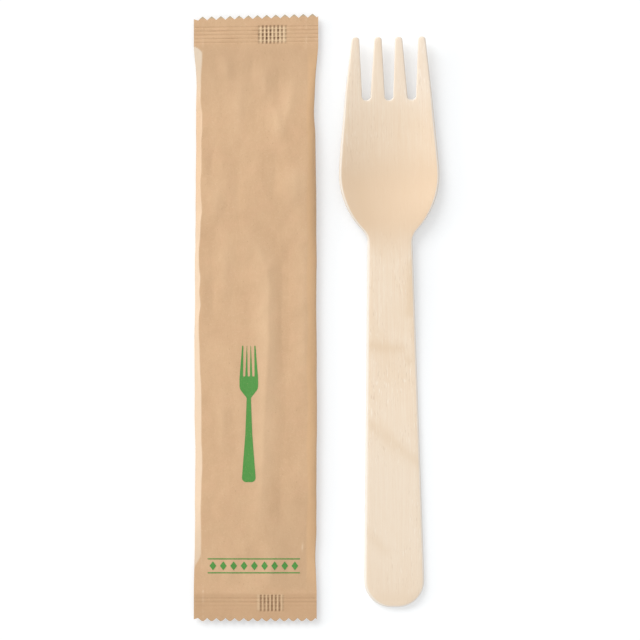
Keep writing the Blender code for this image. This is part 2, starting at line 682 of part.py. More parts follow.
def lay_side_by_side(sachet, fork):
    """Puts the fork to the right of the sachet, a little turned, with the pair centred on the origin."""
    turned = [Matrix.Rotation(FORK_TURN, 2) @ p for p in fork_outline()]
    low, high = min(p.x for p in turned), max(p.x for p in turned)
    pair_width = SACHET_WIDTH + GAP + high - low
    sachet.location.x = (SACHET_WIDTH - pair_width) / 2
    fork.rotation_euler.z = FORK_TURN
    fork.location = (pair_width / 2 - high, FORK_OFFSET - FORK_LENGTH / 2, 0)


def main():
    clear_scene()
    pack = bpy.data.collections.new("wooden_cutlery_pack")
    bpy.context.scene.collection.children.link(pack)
    kraft = material("kraft_paper", KRAFT)
    ink = material("green_ink", INK)
    birch = material("birch_veneer", BIRCH)
    sachet = build_sachet(kraft, ink)
    fork = build_fork(birch)
    lay_side_by_side(sachet, fork)
    pack.objects.link(sachet)
    pack.objects.link(fork)


main()
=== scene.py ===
"""The look of the wooden cutlery pack: printed paper sachet, birch fork, white table and soft light."""

import math

import bpy
import numpy as np
from mathutils import Matrix, Vector, geometry

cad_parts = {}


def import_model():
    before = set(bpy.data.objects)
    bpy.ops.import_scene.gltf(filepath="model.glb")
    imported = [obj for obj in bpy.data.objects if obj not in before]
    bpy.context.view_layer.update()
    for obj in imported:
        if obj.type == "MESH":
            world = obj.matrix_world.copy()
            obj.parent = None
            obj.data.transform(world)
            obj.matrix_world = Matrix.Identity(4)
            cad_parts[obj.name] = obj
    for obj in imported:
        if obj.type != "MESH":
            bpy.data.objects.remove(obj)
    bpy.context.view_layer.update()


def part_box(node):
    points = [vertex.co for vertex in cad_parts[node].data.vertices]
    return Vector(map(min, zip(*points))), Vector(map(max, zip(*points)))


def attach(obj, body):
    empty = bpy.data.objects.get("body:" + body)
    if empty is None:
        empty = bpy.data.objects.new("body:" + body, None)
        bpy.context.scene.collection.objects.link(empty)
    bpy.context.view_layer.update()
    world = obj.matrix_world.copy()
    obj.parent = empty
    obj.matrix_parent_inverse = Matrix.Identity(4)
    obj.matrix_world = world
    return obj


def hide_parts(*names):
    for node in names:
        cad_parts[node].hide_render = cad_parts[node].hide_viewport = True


MM = 0.001
SQUARE = ((-1, -1), (1, -1), (1, 1), (-1, 1))

# Sachet form, in millimetres. What the part has too has the same size there
SACHET_LENGTH = 169.8
HALF_LENGTH = SACHET_LENGTH / 2
PANEL_WIDTH = 28.9
LEFT_HALF_WALL = 2.5
RIGHT_HALF_WALL = 3.4
SACHET_WIDTH = LEFT_HALF_WALL + PANEL_WIDTH + RIGHT_HALF_WALL
LEFT_CREASE = -SACHET_WIDTH / 2 + LEFT_HALF_WALL
RIGHT_CREASE = SACHET_WIDTH / 2 - RIGHT_HALF_WALL
PANEL_MIDDLE = (LEFT_CREASE + RIGHT_CREASE) / 2
SEAL_THICKNESS = 0.3
SEAL_HEIGHT = 1.7
SEAL_BOTTOM = SEAL_HEIGHT - SEAL_THICKNESS / 2
LEAST_THICKNESS = 0.12
MOUTH_LENGTH = 11.0
WALL_ANGLE_AT_HANDLE = math.radians(25)
WALL_ANGLE_AT_HEAD = math.radians(41)
RIGHT_WALL_POWER = 0.3
CROWN_AT_HANDLE = 0.45
CROWN_AT_HEAD = 0.75
PANEL_MOUTH_LENGTH = 32.0
LEAST_OPENING = 1e-6
LEAN_AT_HANDLE = 0.55
CREASE_FADE = 8.0
HEAD_BULGE = (14, 26)

# Pinked ends. TIP_WEAR is for the top and the bottom end
TOOTH_PITCH = 2.56
TOOTH_DEPTH = 1.15
TOOTH_ROOT = HALF_LENGTH - TOOTH_DEPTH
FIRST_TOOTH = 2.45
CORNER_SHARE = 0.35
TIP_WEAR = (0.06, 0.22)
TIP_WEAR_POWER = 5
TOP_SKEW = math.radians(0.75)
TOP_SKEW_START = 62.0
KNIFE_SKEW = math.radians(0.75)
BOTTOM_NARROWING = 0.45
BOTTOM_NARROWING_START = 58.0

# Crimped seals, and the fin folded flat on the back
SEAL_MARGIN = 1.9
RIB_PITCH = 1.1
RIB_COUNT = 5
SEAL_LENGTH = TOOTH_DEPTH + SEAL_MARGIN + RIB_COUNT * RIB_PITCH
BODY_END = HALF_LENGTH - SEAL_LENGTH
FIRST_GROOVE = 0.88
GROOVE_PITCH = 1.07
GROOVE_DEPTH = 0.13
GROOVE_WIDTH = 0.14
GROOVE_WEAR = (0.8, 0.35, 3.5, 1.2)
TOP_GROOVES = (0.7, 1.0, 1.0, 1.0, 0.8)
BOTTOM_GROOVES = (0.0, 0.9, 0.9, 0.3, 0.1)
FIN_START = 0.3
FIN_WIDTH = 8.4
FIN_THICKNESS = 0.3
FIN_EDGE = 0.1
FIN_RIBS = 8
FIN_RIB_DEPTH = 0.09
SAG_FROM_FIN = 1.0
SAG_RUN = 3.0
SMOOTH_BEFORE_FIN = 3.0
SMOOTH_AFTER_FIN = 2.0
SMOOTH_FADE = 1.5

# The narrow facet where the left wall folds over, and how the sachet's creases and edges wander
FACET_START_RUN = 2.2
FACET_END = (6 - BODY_END, 5)
FACET_LEAST = 0.02
FACET_NARROWING = 0.42
FACET_WAIST = 0.5
FACET_WAIST_AT = 5.0
FACET_WAIST_REACH = 22.0
OPEN_SIDE_POWER = 4
CREASE_LEAST_FACET = 0.9
CREASE_WANDER = 0.16
CREASE_WAVE = 23.0
LEFT_WAVE_SHARE = 0.6
LEFT_JITTER = (0, 0.24, 3.8, 1)
RIGHT_WAVE_PHASE = 2
EDGE_WANDER = 0.08
EDGE_WAVE = 57.0
EDGE_OVERTONE = 2.7
EDGE_OVERTONE_SHARE = 0.5
EDGE_JITTER = (0.065, 0.05, 4, 1)
RIGHT_DRAW_IN = 0.2
DENT_AT = 57.7
DENT_REACH = 5.0
DENT_DEPTH = 0.4

# The knurled patch that the fin prints in each seal. PIT_ACROSS and PIT_ALONG are depth and slope of flank
PIT_DEPTH = 0.12
PIT_PITCH = 1.07
TOP_PITS_START = 0.32
BOTTOM_PITS_START = -0.18
TOP_PITS = (0.5, 0.8, 0.85, 0.85, 0.75, 0.85, 0.7, 0.5)
BOTTOM_PITS = (0.12, 1.0, 1.0, 0.9, 1.0, 0.9, 1.0, 0.45)
PIT_ROWS = (0.75, 1.0, 1.05, 1.0, 0.8)
PIT_ACROSS = (2.1, 6.0)
PIT_ALONG = (2.8, 5.6)
TOP_PITS_LINK = 0.35
BOTTOM_PITS_LINK = 0.7
BOTTOM_PITS_FIRST_ROW = 0.4
PIT_END_SLOPE = 4
PIT_WEAR = (0.95, 0.25, 1 / 1.3, 1 / 1.3)
PATCH_MARGIN = 0.2
PATCH_COLUMN_FADE = 0.4
PATCH_ROW_FADE = 0.5

# Relief of the paper. Every value that varies in patches has its mean, its spread, and their size both ways
SWELL = (0, 0.09, 7, 11)
RIPPLE = (0, 0.035, 3.2, 4.6)
CRUMPLE_HEIGHT = 0.05
CRUMPLE = (0, CRUMPLE_HEIGHT, 5, 9)
CRUMPLE_LEAN = 5 / 17
SEAL_UNEVENNESS = (0, 0.02, 2.5, 2.5)
BACK_SWELL = (0.05, 0.05, 5, 8)

# Folds that handling has left: shares of the half panel and half body, height, spread to each side
FRONT_FOLDS = [
    ([(-0.12, 0.3), (0.26, 0.2), (0.28, -0.08), (0.21, -0.3), (0.17, -0.5), (0.11, -0.74)], 0.55, 5.4),
    ([(0.55, 0.26), (0.53, 0.0), (0.55, -0.25)], -0.26, 3.4),
    ([(0.97, 0.34), (0.95, 0.02), (0.97, -0.3)], 0.26, 4.4),
    ([(0.78, 0.57), (0.82, 0.41)], 0.35, 5.2),
    ([(0.42, 0.62), (0.36, 0.44)], -0.22, 3.4),
    ([(0.5, 0.92), (0.46, 0.8)], -0.12, 3.0),
    ([(0.23, 0.93), (0.19, 0.8)], 0.18, 3.2),
    ([(-0.24, 0.88), (-0.34, 0.68)], 0.24, 4.6),
    ([(0.42, 0.78), (0.46, 0.66)], 0.24, 3.0),
    ([(0.8, 0.88), (0.56, 0.68)], 0.2, 3.0),
    ([(-0.33, 0.58), (-0.31, 0.34)], -0.26, 4.6),
    ([(-0.7, 0.48), (-0.76, 0.36)], 0.2, 2.6),
    ([(-0.79, 0.64), (-0.85, 0.5)], -0.22, 2.8),
    ([(-0.53, 0.29), (-0.56, 0.09)], 0.2, 3.6),
    ([(-0.81, 0.24), (-0.8, -0.06)], -0.18, 2.8),
    ([(-0.62, -0.24), (-0.6, -0.52)], 0.16, 3.0),
    ([(-0.24, -0.24), (-0.22, -0.54)], 0.16, 4.2),
    ([(-0.88, -0.66), (-0.76, -0.74)], -0.2, 2.4),
    ([(0.48, -0.5), (0.5, -0.8)], -0.16, 4.0),
    ([(-0.6, 0.97), (-0.5, 0.87)], 0.3, 2.4),
    ([(-0.02, 0.97), (-0.05, 0.88)], -0.24, 2.4),
    ([(-0.5, -0.97), (-0.42, -0.87)], 0.26, 2.4),
    ([(0.3, -0.97), (0.36, -0.87)], 0.26, 2.4),
    ([(0.72, -0.97), (0.62, -0.88)], -0.24, 2.2),
]
BACK_FOLDS = [
    ([(-0.3, 0.86), (-0.46, 0.52)], 0.2, 3.4),
    ([(-0.7, 0.31), (-0.46, -0.16)], 0.2, 3.4),
    ([(-0.4, -0.4), (-0.62, -0.81)], 0.2, 3.4),
    ([(0.86, 0.57), (0.88, 0.08)], 0.2, 1.9),
    ([(0.87, -0.26), (0.84, -0.76)], 0.16, 1.9),
]
FOLD_SOFTNESS = 0.35
FOLD_SIDE_POWER = 1.4
FOLD_END = 0.08

# Pale marks of hard folds, with their strength at the top and the bottom end, and a small scratch
MARK_START = (BODY_END - 2.5, 2)
MARK_INSET = 0.1
LEFT_MARK = (0.25, 0.9)
LEFT_MARK_WIDTH = 0.2
RIGHT_MARK = (0.8, 0.35)
RIGHT_MARK_WIDTH = 0.18
MARK_BREAKS = (0.35, 0.9, 0.7, 3)
TUBE_MARK = 0.35
TUBE_MARK_WIDTH = 0.14
TICK = 0.8
TICK_AT = (13.2, -63.8)
TICK_SIZE = (0.2, 1.0)

# Where the paper's other tints lie, in millimetres, among them painted shade and painted light as marked.
# SEAL_SHADE_FADE is for the top and the bottom end
TIP_SHADE_SHARE = 0.75
TIP_SHADE_FADE = 0.4
LOWER_SEAL_FADE = 1.2
LEFT_WALL_FADE = 0.35
LEFT_WALL_OVERLAP = 0.4
RIGHT_WALL_FADE = 0.8
# Painted light on the left wall, stronger near the top seal
WALL_LIGHT_AT_TOP = 0.7
WALL_LIGHT_LOSS = 1.3
WALL_LIGHT_RUN = 20
# Painted shade on the panel just inside each seal; at the bottom end only on its right side
SEAL_SHADE_START = (-1, 3)
SEAL_SHADE_LENGTH = 8
SEAL_SHADE_FADE = (14, 30)
SEAL_SHADE_SIDE_RUN = 8
# Fold crests paler, partly wear and partly painted highlight
CREST_HIGHLIGHT_HEIGHT = 0.4

# Print, in millimetres
ICON_FROM_MIDDLE = -2.0
ICON_FROM_SEAL = 49.7
ICON_LENGTH = 38.1
ICON_HEAD_WIDTH = 5.2
ICON_TIP_WIDTH = 3.7
ICON_TIP_ROUND = 0.15
ICON_TIP_TAPER = 0.45
ICON_TINE_LENGTH = 8.6
ICON_HEAD_LENGTH = 14.6
ICON_GAP = 0.5
ICON_ROOT_GAP = 0.62
ICON_ROOT_ROUND = 0.2
ICON_ROOT_SHARE = 0.9
ICON_SIDE_FROM_ROOT = 0.6
ICON_SIDE_ROUND = 8.0
ICON_SHOULDER_FROM_NECK = 2.6
ICON_SHOULDER_ROUND = 2.2
ICON_NECK_WIDTH = 1.15
ICON_NECK_ROUND = 0.8
ICON_SWELL_WIDTH = 1.95
ICON_SWELL_AT = 13.2
ICON_SWELL_ROUND = 20.0
ICON_END_WIDTH = 4.0
ICON_END_ROUND = 1.2
BORDER_FROM_SEAL = 7.2
BORDER_MARGIN = 1.4
LOZENGE_PITCH = 2.9
LOZENGE_WIDTH = 1.9
LOZENGE_HEIGHT = 2.5
RULE_WIDTH = 0.3
RULE_GAP = 0.55
INK_LIFT = 0.05

# Fork form, in millimetres, with lengths from the handle's end. What the part has too has the same size there
FORK_LENGTH = 159.4
VENEER = 1.7
HANDLE_END_WIDTH = 16.75
HANDLE_END_ROUND = 7.4
HANDLE_TAPER_START = 9.0
NECK_WIDTH = 12.5
NECK_FILLET = 5.0
HEAD_LENGTH = 55.4
HEAD_WIDTH = 28.1
SHOULDER_OVERHANG = 0.9
SHOULDER_FROM_NECK = 8.8
SHOULDER_ROUND = 22.0
SIDE_WIDTH = 26.0
SIDE_FROM_TIP = 23.2
SIDE_ROUND = 300.0
TIP_WIDTH = 20.4
TINE_TIP_WIDTH = 1.95
TINE_TIP_ROUND = 0.9
TINE_LEANS = (0.28, 0.44, 0.05, 0.39)
INNER_TINE_ROOT_WIDTH = 4.15
SLOT_DEPTH = 17.5
SLOT_END_WIDTH = 2.3
SLOT_LEAN = 0.25
HANDLE_FLAT_LENGTH = 55.0
NECK_LIFT = 1.5
BELLY_FROM_NECK = 18.0
TIP_LIFT = 2.9
TIP_LIFT_RUN = 46.0
DISH_DEPTH = 1.8
DISH_BEFORE_NECK = 8.0
DISH_AFTER_NECK = 10.0
DISH_LEFT_AT_TIPS = 0.35
FORK_TURN = math.radians(0.73)
FORK_OFFSET = -1.0
NECK_AT = FORK_LENGTH - HEAD_LENGTH
BELLY_AT = NECK_AT + BELLY_FROM_NECK
VENEER_WAVES = (0.02, 0.02, 6, 14)
WAVES_START = (60, 20)
SLOPE_STEP = 0.05

# Tumbled edges: their radius, and where it changes along the fork, as a start and a run
HANDLE_ROUND = 0.8
HEAD_ROUND = 0.5
HEAD_ROUND_START = (NECK_AT - 6, 12)
TINE_ROUND = 0.35
TINE_ROUND_START = (FORK_LENGTH - SLOT_DEPTH - 4, 4)
SHADED_ROUND_SHARE = 0.5
SHADED_END = FORK_LENGTH - 26
SHADED_END_RUN = 6
AWAY_FROM_LIGHT = (0.62, -0.78)
TINE_EDGE_LOSS = 0.5
TINE_EDGE_FADE = 3

# Soft darker figure in the veneer: points across and along the fork, then its spread
FIGURE_STREAKS = [
    ([(-6.0, 73.0), (2.5, 72.2)], 1.6),
    ([(4.2, 69.4), (4.8, 68.6)], 1.1),
    ([(-7.0, 51.5), (-0.4, 46.4), (7.6, 40.0)], 1.5),
    ([(-8.0, 21.5), (-2.4, 15.6)], 1.5),
    ([(-4.0, 2.5), (5.0, 2.0)], 2.2),
    ([(6.0, 96.0), (5.2, 82.0)], 1.3),
    ([(-9.0, 118.0), (-6.0, 108.0)], 2.4),
]

# Shades of the veneer along or across the fork, as a start and a run: darker over the head and at the
# handle's end, and painted light that makes the tines paler
DARKER_ZONE_START = (95, 14)
DARKER_ZONE_WANE = (117, 17)
DARKER_ZONE_WANE_SHARE = 0.65
DARKER_ZONE_END = (134, 12)
DARKER_AT_HANDLE_END = (4, 16)
DARKER_AT_HANDLE_END_SHARE = 0.4
PALE_START = (134, 14)
PALE_ACROSS = (-6, 12)
PALE_LEAST = 0.4
GREYED_END = (30, 40)

# Mesh spacing, in millimetres, and columns of the sachet for each half tooth
BODY_ROW = 0.65
MOUTH_ROW = 0.3
MOUTH_ROWS_END = 5.0
SEAL_ROW = 0.15
CUT_ROWS = 0.5
FIN_COLUMNS = 7
FIN_MARGIN = 0.3
FACET_COLUMNS = 5
PANEL_COLUMNS = 3
PRINT_STEP = 0.6
VENEER_STEP = 0.9
LEAST_FROM_RIM = 0.45
WELD = 0.002
SAME_POINT = 0.01
ARC_STEP = math.radians(6)
ICON_ARC_STEP = math.radians(18)
ROUND_STEPS = 4
SHARP_ANGLE = math.radians(50)

# The triangulation's mode that keeps only what is inside the outline
KEEP_INSIDE = 1

# Paper. Tints have where a texture starts and ends them, or an attribute, then their share and colour. Some
# attribute tints are painted light and some painted shade, as marked
KRAFT_SHADES = ((0.595, 0.375, 0.208, 1), (0.67, 0.437, 0.25, 1))
KRAFT_WARM = (0.45, 0.7, 0.35, (0.68, 0.42, 0.245, 1))
DARK_FIBRE = (0.5, 0.75, 0.35, (0.56, 0.35, 0.19, 1))
PALE_FIBRE = (0.55, 0.78, 0.4, (0.8, 0.58, 0.38, 1))
SPECK = (0.71, 0.78, 0.35, (0.36, 0.2, 0.1, 1))
PAPER_TINTS = [
    # partly wear, partly painted highlight on the folds' crests
    ("crest_wear_and_highlight", 0.35, (0.76, 0.535, 0.33, 1)),
    # painted shade just inside the seals
    ("seal_shade", 0.3, (0.5, 0.325, 0.185, 1)),
    # painted shade in the crimp's grooves
    ("grooves", 0.32, (0.42, 0.235, 0.11, 1)),
    # painted highlight on the paper between the pits
    ("between", 0.6, (0.92, 0.7, 0.44, 1)),
    ("pressed", 1.0, (0.115, 0.045, 0.008, 1)),
    ("creases", 0.5, (0.9, 0.72, 0.5, 1)),
    # painted shade: the top end's tooth tips grey, standing in for the back ply seen in shadow
    ("tips", 0.75, (0.45, 0.385, 0.26, 1)),
    ("lower_seal", 0.45, (0.47, 0.28, 0.145, 1)),
    # painted light on the left wall, which faces the lamps
    ("lit_left_wall", 0.5, (0.8, 0.67, 0.52, 1)),
    # painted light that lifts the right wall, which faces away from the lamps
    ("lit_right_wall", 0.5, (0.74, 0.46, 0.235, 1)),
]
PAPER_SHEEN = 0.12
PAPER_ROUGHNESS = (0.5, 0.66)
PAPER_CRUMPLE_DEPTH = 0.1 * MM
PAPER_FIBRE_DEPTH = 0.012 * MM
LONG_FIBRE_TURN = 0.06
SHORT_FIBRE_TURN = 0.5

# Ink
INK_SHADES = ((0.055, 0.25, 0.034, 1), (0.08, 0.285, 0.05, 1))
INK_PINHOLE = (0.66, 0.74, 0.55, (0.5, 0.42, 0.2, 1))
INK_ROUGHNESS = (0.42, 0.6)
INK_DEPTH = 0.01 * MM

# Birch. LIT_FAR_CUT is painted light on the cut edge that faces away from the lamps
BIRCH_SHADES = ((0.885, 0.745, 0.585, 1), (0.84, 0.67, 0.5, 1))
BIRCH_FINE_GRAIN = (0.45, 0.75, 0.3, (0.93, 0.81, 0.67, 1))
BIRCH_CLOUD = (0.45, 0.75, 0.5, (0.82, 0.635, 0.445, 1))
DARK_FLECK = (0.72, 0.555, 0.4, 1)
PALE_FLECK = (0.95, 0.84, 0.71, 1)
WOOD_TINTS = [
    ("figure", 0.42, (0.74, 0.55, 0.36, 1)),
    ("darker_zones", 0.85, (0.76, 0.56, 0.375, 1)),
    # painted light: the tines and top of the head paler, more so on the right
    ("pale", 0.4, (0.93, 0.81, 0.69, 1)),
    ("greyed", 0.4, (0.8, 0.69, 0.56, 1)),
]
CUT_SHADES = ((0.82, 0.765, 0.69, 1), (0.78, 0.71, 0.62, 1))
LIT_FAR_CUT = (0.98, 0.91, 0.83, 1)
CUT_SHARE = 0.85
WOOD_ROUGHNESS = (0.42, 0.56)
GRAIN_DEPTH = 0.05 * MM
FINE_GRAIN_DEPTH = 0.012 * MM
CLOUD_TURN = -0.5
PATCH_TURN = 0.4

# Camera, from the photo: 0.28 mm a pixel, looking straight down
PIXEL = 0.28 * MM
PICTURE_SIDE = 640
CAMERA_AIM = (0.89 * MM, -0.42 * MM)
CAMERA_HEIGHT = 1.4
SENSOR = 36.0

# The table. What the camera sees of it is partly a glow, so that it is white and its shadows are light
FLOOR_COLOUR = (0.8, 0.8, 0.8, 1)
FLOOR_SEEN_COLOUR = (0.615, 0.63, 0.64, 1)
FLOOR_GLOW = 0.41
FLOOR_HALF_SIDE = 3.0
FLOOR_GAP = 0.02 * MM

# Lamps: energy, spread in degrees, direction. SURROUND is how strongly the world lights. It is seen white
KEY = (1.5, 35, (1.0, -1.25, -1.3))
SKIM = (1.0, 25, (1.0, -0.25, -0.3))
SURROUND = 0.63


def smooth(t):
    t = np.clip(t, 0.0, 1.0)
    return t * t * (3 - 2 * t)


def blend(a, b, share):
    return a + (b - a) * share


def rising(t, start, run):
    """0 up to the start, and 1 from a run further on."""
    return smooth((t - start) / run)


def window(t, start, end, fade):
    """1 between a start and an end, with a soft edge inside each of them."""
    return smooth((t - start) / fade) * smooth((end - t) / fade)


def bell(distance, reach):
    """1 on a line, dying away on both sides of it."""
    return np.exp(-((distance / reach) ** 2))


def patchy(x, y, patches, seed):
    """A smooth value that varies in patches, given as its mean, its spread, and the size of the patches."""
    mean, spread, size_x, size_y = patches
    x, y = x / size_x, y / size_y
    table = np.random.default_rng(seed).uniform(-1, 1, (64, 64))
    x0, y0 = np.floor(x).astype(int), np.floor(y).astype(int)
    fx, fy = smooth(x - x0), smooth(y - y0)
    corner = [[table[(x0 + i) % 64, (y0 + k) % 64] for k in (0, 1)] for i in (0, 1)]
    return mean + spread * blend(blend(*corner[0], fy), blend(*corner[1], fy), fx)


def line_distance(x, y, line):
    """Distance from every point to a line of points, and how far along it, from 0 to 1."""
    best = np.full(x.shape, np.inf)
    along = np.zeros(x.shape)
    lengths = [math.dist(a, b) for a, b in zip(line, line[1:])]
    passed = 0.0
    for (a, b), length in zip(zip(line, line[1:]), lengths):
        run_x, run_y = b[0] - a[0], b[1] - a[1]
        t = np.clip(((x - a[0]) * run_x + (y - a[1]) * run_y) / length**2, 0, 1)
        distance = np.hypot(x - a[0] - run_x * t, y - a[1] - run_y * t)
        nearer = distance < best
        best = np.where(nearer, distance, best)
        along = np.where(nearer, (passed + t * length) / sum(lengths), along)
        passed += length
    return best, along


def fold_relief(u, v, folds):
    """How far the folds lift the paper. Each dies away to its sides and to its ends."""
    lift = np.zeros(u.shape)
    for line, height, spread in folds:
        points = [(PANEL_MIDDLE + a * PANEL_WIDTH / 2, b * BODY_END) for a, b in line]
        distance, along = line_distance(u, v, points)
        distance = np.sqrt(distance**2 + FOLD_SOFTNESS**2) - FOLD_SOFTNESS
        to_sides = np.clip(1 - distance / spread, 0, 1) ** FOLD_SIDE_POWER
        to_ends = np.sin(math.pi * (FOLD_END + (1 - 2 * FOLD_END) * along))
        lift += height * to_sides * to_ends
    return lift


def tube_opening(v):
    t = np.clip((BODY_END - np.abs(v)) / MOUTH_LENGTH, 0, 1)
    return 1 - (1 - t) ** 2


def panel_opening(v):
    """How far the panel has risen from the seals, which takes longer than its edges do."""
    return smooth((BODY_END - np.abs(v)) / PANEL_MOUTH_LENGTH)


def over_head(v):
    return rising(v, *HEAD_BULGE)


def crease_rise(v):
    angle = blend(WALL_ANGLE_AT_HANDLE, WALL_ANGLE_AT_HEAD, over_head(v))
    return LEFT_HALF_WALL * np.sin(angle * tube_opening(v))


def crown(v):
    return tube_opening(v) * blend(CROWN_AT_HANDLE, CROWN_AT_HEAD, over_head(v))


def facet_share(v):
    """How much of the left wall is folded over. The fold starts as a curve and tapers out at the bottom."""
    top = np.clip((BODY_END - v) / FACET_START_RUN, 0, 1)
    bottom = rising(v, *FACET_END)
    return (1 - (1 - top) ** 2) * bottom


def left_crease(v):
    waves = LEFT_WAVE_SHARE * CREASE_WANDER * np.sin(math.tau * v / CREASE_WAVE)
    waves = waves + patchy(v, v * 0, LEFT_JITTER, seed=3)
    bow = FACET_NARROWING + FACET_WAIST * bell(v - FACET_WAIST_AT, FACET_WAIST_REACH)
    return LEFT_CREASE + tube_opening(v) * (waves - bow)


def right_crease(v):
    wave = np.sin(math.tau * v / CREASE_WAVE + RIGHT_WAVE_PHASE)
    return RIGHT_CREASE + CREASE_WANDER * tube_opening(v) * wave


def edge_wander(v, side):
    """How far a fold of the tube strays inwards. The side is 0 for the left and 1 for the right."""
    turn = math.tau * v / EDGE_WAVE
    wave = np.sin(turn + side) + EDGE_OVERTONE_SHARE * np.sin(EDGE_OVERTONE * turn + side)
    return tube_opening(v) * (EDGE_WANDER * wave + patchy(v, v * 0, EDGE_JITTER, seed=7 + side))


def left_edge(v):
    return LEFT_CREASE - np.sqrt(LEFT_HALF_WALL**2 - crease_rise(v) ** 2) + edge_wander(v, 0)


def right_edge(v):
    drawn_in = RIGHT_DRAW_IN * tube_opening(v) + edge_wander(v, 1)
    dent = DENT_DEPTH * bell(v - DENT_AT, DENT_REACH)
    return RIGHT_CREASE + np.sqrt(RIGHT_HALF_WALL**2 - crease_rise(v) ** 2) - drawn_in - dent


def at_end(v, top, bottom):
    """One value for the top end and another for the bottom."""
    return np.where(v > 0, top, bottom)


def groove_row(v):
    """Rows of the crimp counted from the body: a whole number and a half is the middle of a groove."""
    return (np.abs(v) - BODY_END - FIRST_GROOVE) / GROOVE_PITCH + 0.5


def rib_lift(u, v):
    """The grooves that the crimping jaws press into both end seals."""
    lift = np.zeros(u.shape)
    worn = patchy(u, v, GROOVE_WEAR, seed=14)
    for rib, (top, bottom) in enumerate(zip(TOP_GROOVES, BOTTOM_GROOVES)):
        off = (groove_row(v) - rib - 0.5) * GROOVE_PITCH
        lift -= at_end(v, top, bottom) * worn * GROOVE_DEPTH * bell(off, GROOVE_WIDTH)
    return lift


def pit_column(u, v):
    """Columns of the knurled patch from its left: a whole number and a half is the middle of a pit."""
    return (u - at_end(v, TOP_PITS_START, BOTTOM_PITS_START)) / PIT_PITCH


def pit_profile(place, peak, slope):
    """How deep the pits are at a place along their row or column, before it is cut off to a flat floor."""
    return peak - slope * np.abs(place % 1 - 0.5)


def pit_mask(u, v):
    """1 in the pits where the fin's ribs cross the seal's ribs. They run together at the bottom end."""
    column, row = pit_column(u, v), groove_row(v)
    inside = (column > 0) & (column < FIN_RIBS) & (row > 0) & (row < RIB_COUNT)
    column_index = np.clip(np.floor(column), 0, FIN_RIBS - 1).astype(int)
    row_index = np.clip(np.floor(row), 0, RIB_COUNT - 1).astype(int)
    top = np.array(TOP_PITS)[column_index] * np.array(PIT_ROWS)[row_index]
    strength = at_end(v, top, np.array(BOTTOM_PITS)[column_index])
    across = np.clip(pit_profile(column, *PIT_ACROSS), 0, 1)
    along = np.clip(pit_profile(row, *PIT_ALONG), TOP_PITS_LINK, 1)
    first = np.clip(PIT_END_SLOPE * (row - BOTTOM_PITS_FIRST_ROW), 0, 1)
    last = np.clip(PIT_END_SLOPE * (RIB_COUNT - row), 0, 1)
    along = at_end(v, along, np.maximum(along, BOTTOM_PITS_LINK) * (first * last))
    return np.where(inside, strength * across * along * patchy(u, v, PIT_WEAR, seed=11), 0)


def over_fin_crimp(u, v):
    """1 over the fin inside the crimped rows."""
    across = window(pit_column(u, v), PATCH_MARGIN, FIN_RIBS - PATCH_MARGIN, PATCH_COLUMN_FADE)
    return across * window(groove_row(v), PATCH_MARGIN, RIB_COUNT - PATCH_MARGIN, PATCH_ROW_FADE)


def dome(middle, v):
    """The shape of the panel's crown, from 0 to 1. Over the head it stays up as far as the right wall."""
    lean = blend(LEAN_AT_HANDLE, 1, over_head(v + MOUTH_LENGTH))
    return blend(1 - (2 * middle - 1) ** 2, 1 - (1 - middle) ** 2, lean)


def front_height(u, v):
    """The front sheet: crimped seals, and between them a panel that stands open on folded walls."""
    open_here = tube_opening(v)
    share, middle = panel_shares(u, v)
    folds = fold_relief(u, v, FRONT_FOLDS) * open_here
    soft = patchy(u, v, SWELL, seed=1) + patchy(u, v, RIPPLE, seed=2)
    crumple = CRUMPLE_HEIGHT - 2 * np.abs(patchy(u + v * CRUMPLE_LEAN, v, CRUMPLE, seed=5))
    slow = panel_opening(v) / np.maximum(open_here, LEAST_OPENING)
    rise = (crease_rise(v) + crown(v) * dome(middle, v)) * share * slow
    rise += (folds + (soft + crumple) * open_here) * share
    uneven = patchy(u, v, SEAL_UNEVENNESS, seed=4)
    return SEAL_HEIGHT + SEAL_THICKNESS / 2 + rib_lift(u, v) - PIT_DEPTH * pit_mask(u, v) + rise + uneven


def back_height(u, v):
    """The back: a panel that drops to the table, with the fin folded flat on it."""
    open_here = tube_opening(v)
    share, _ = panel_shares(u, v)
    fin_end = FIN_START + FIN_WIDTH
    fin = window(u, FIN_START - FIN_EDGE, fin_end + FIN_EDGE, 2 * FIN_EDGE)
    sag = window(u, LEFT_CREASE, FIN_START - SAG_FROM_FIN, SAG_RUN) * open_here
    ribs = 0.5 - 0.5 * np.cos(math.tau * (u - FIN_START) / FIN_WIDTH * FIN_RIBS)
    flap = np.maximum(fin * (FIN_THICKNESS - FIN_RIB_DEPTH * (1 - ribs)), FIN_THICKNESS * sag)
    near_fin = window(u, FIN_START - SMOOTH_BEFORE_FIN, fin_end + SMOOTH_AFTER_FIN, SMOOTH_FADE)
    folds = fold_relief(u, v, BACK_FOLDS) * open_here * (1 - near_fin)
    soft = patchy(u, v, BACK_SWELL, seed=21) * open_here * (1 - near_fin)
    drop = (SEAL_BOTTOM - FIN_THICKNESS) * open_here * share - np.maximum(0, (folds + soft) * share)
    return np.maximum(0, SEAL_BOTTOM + rib_lift(u, v) - drop - flap)


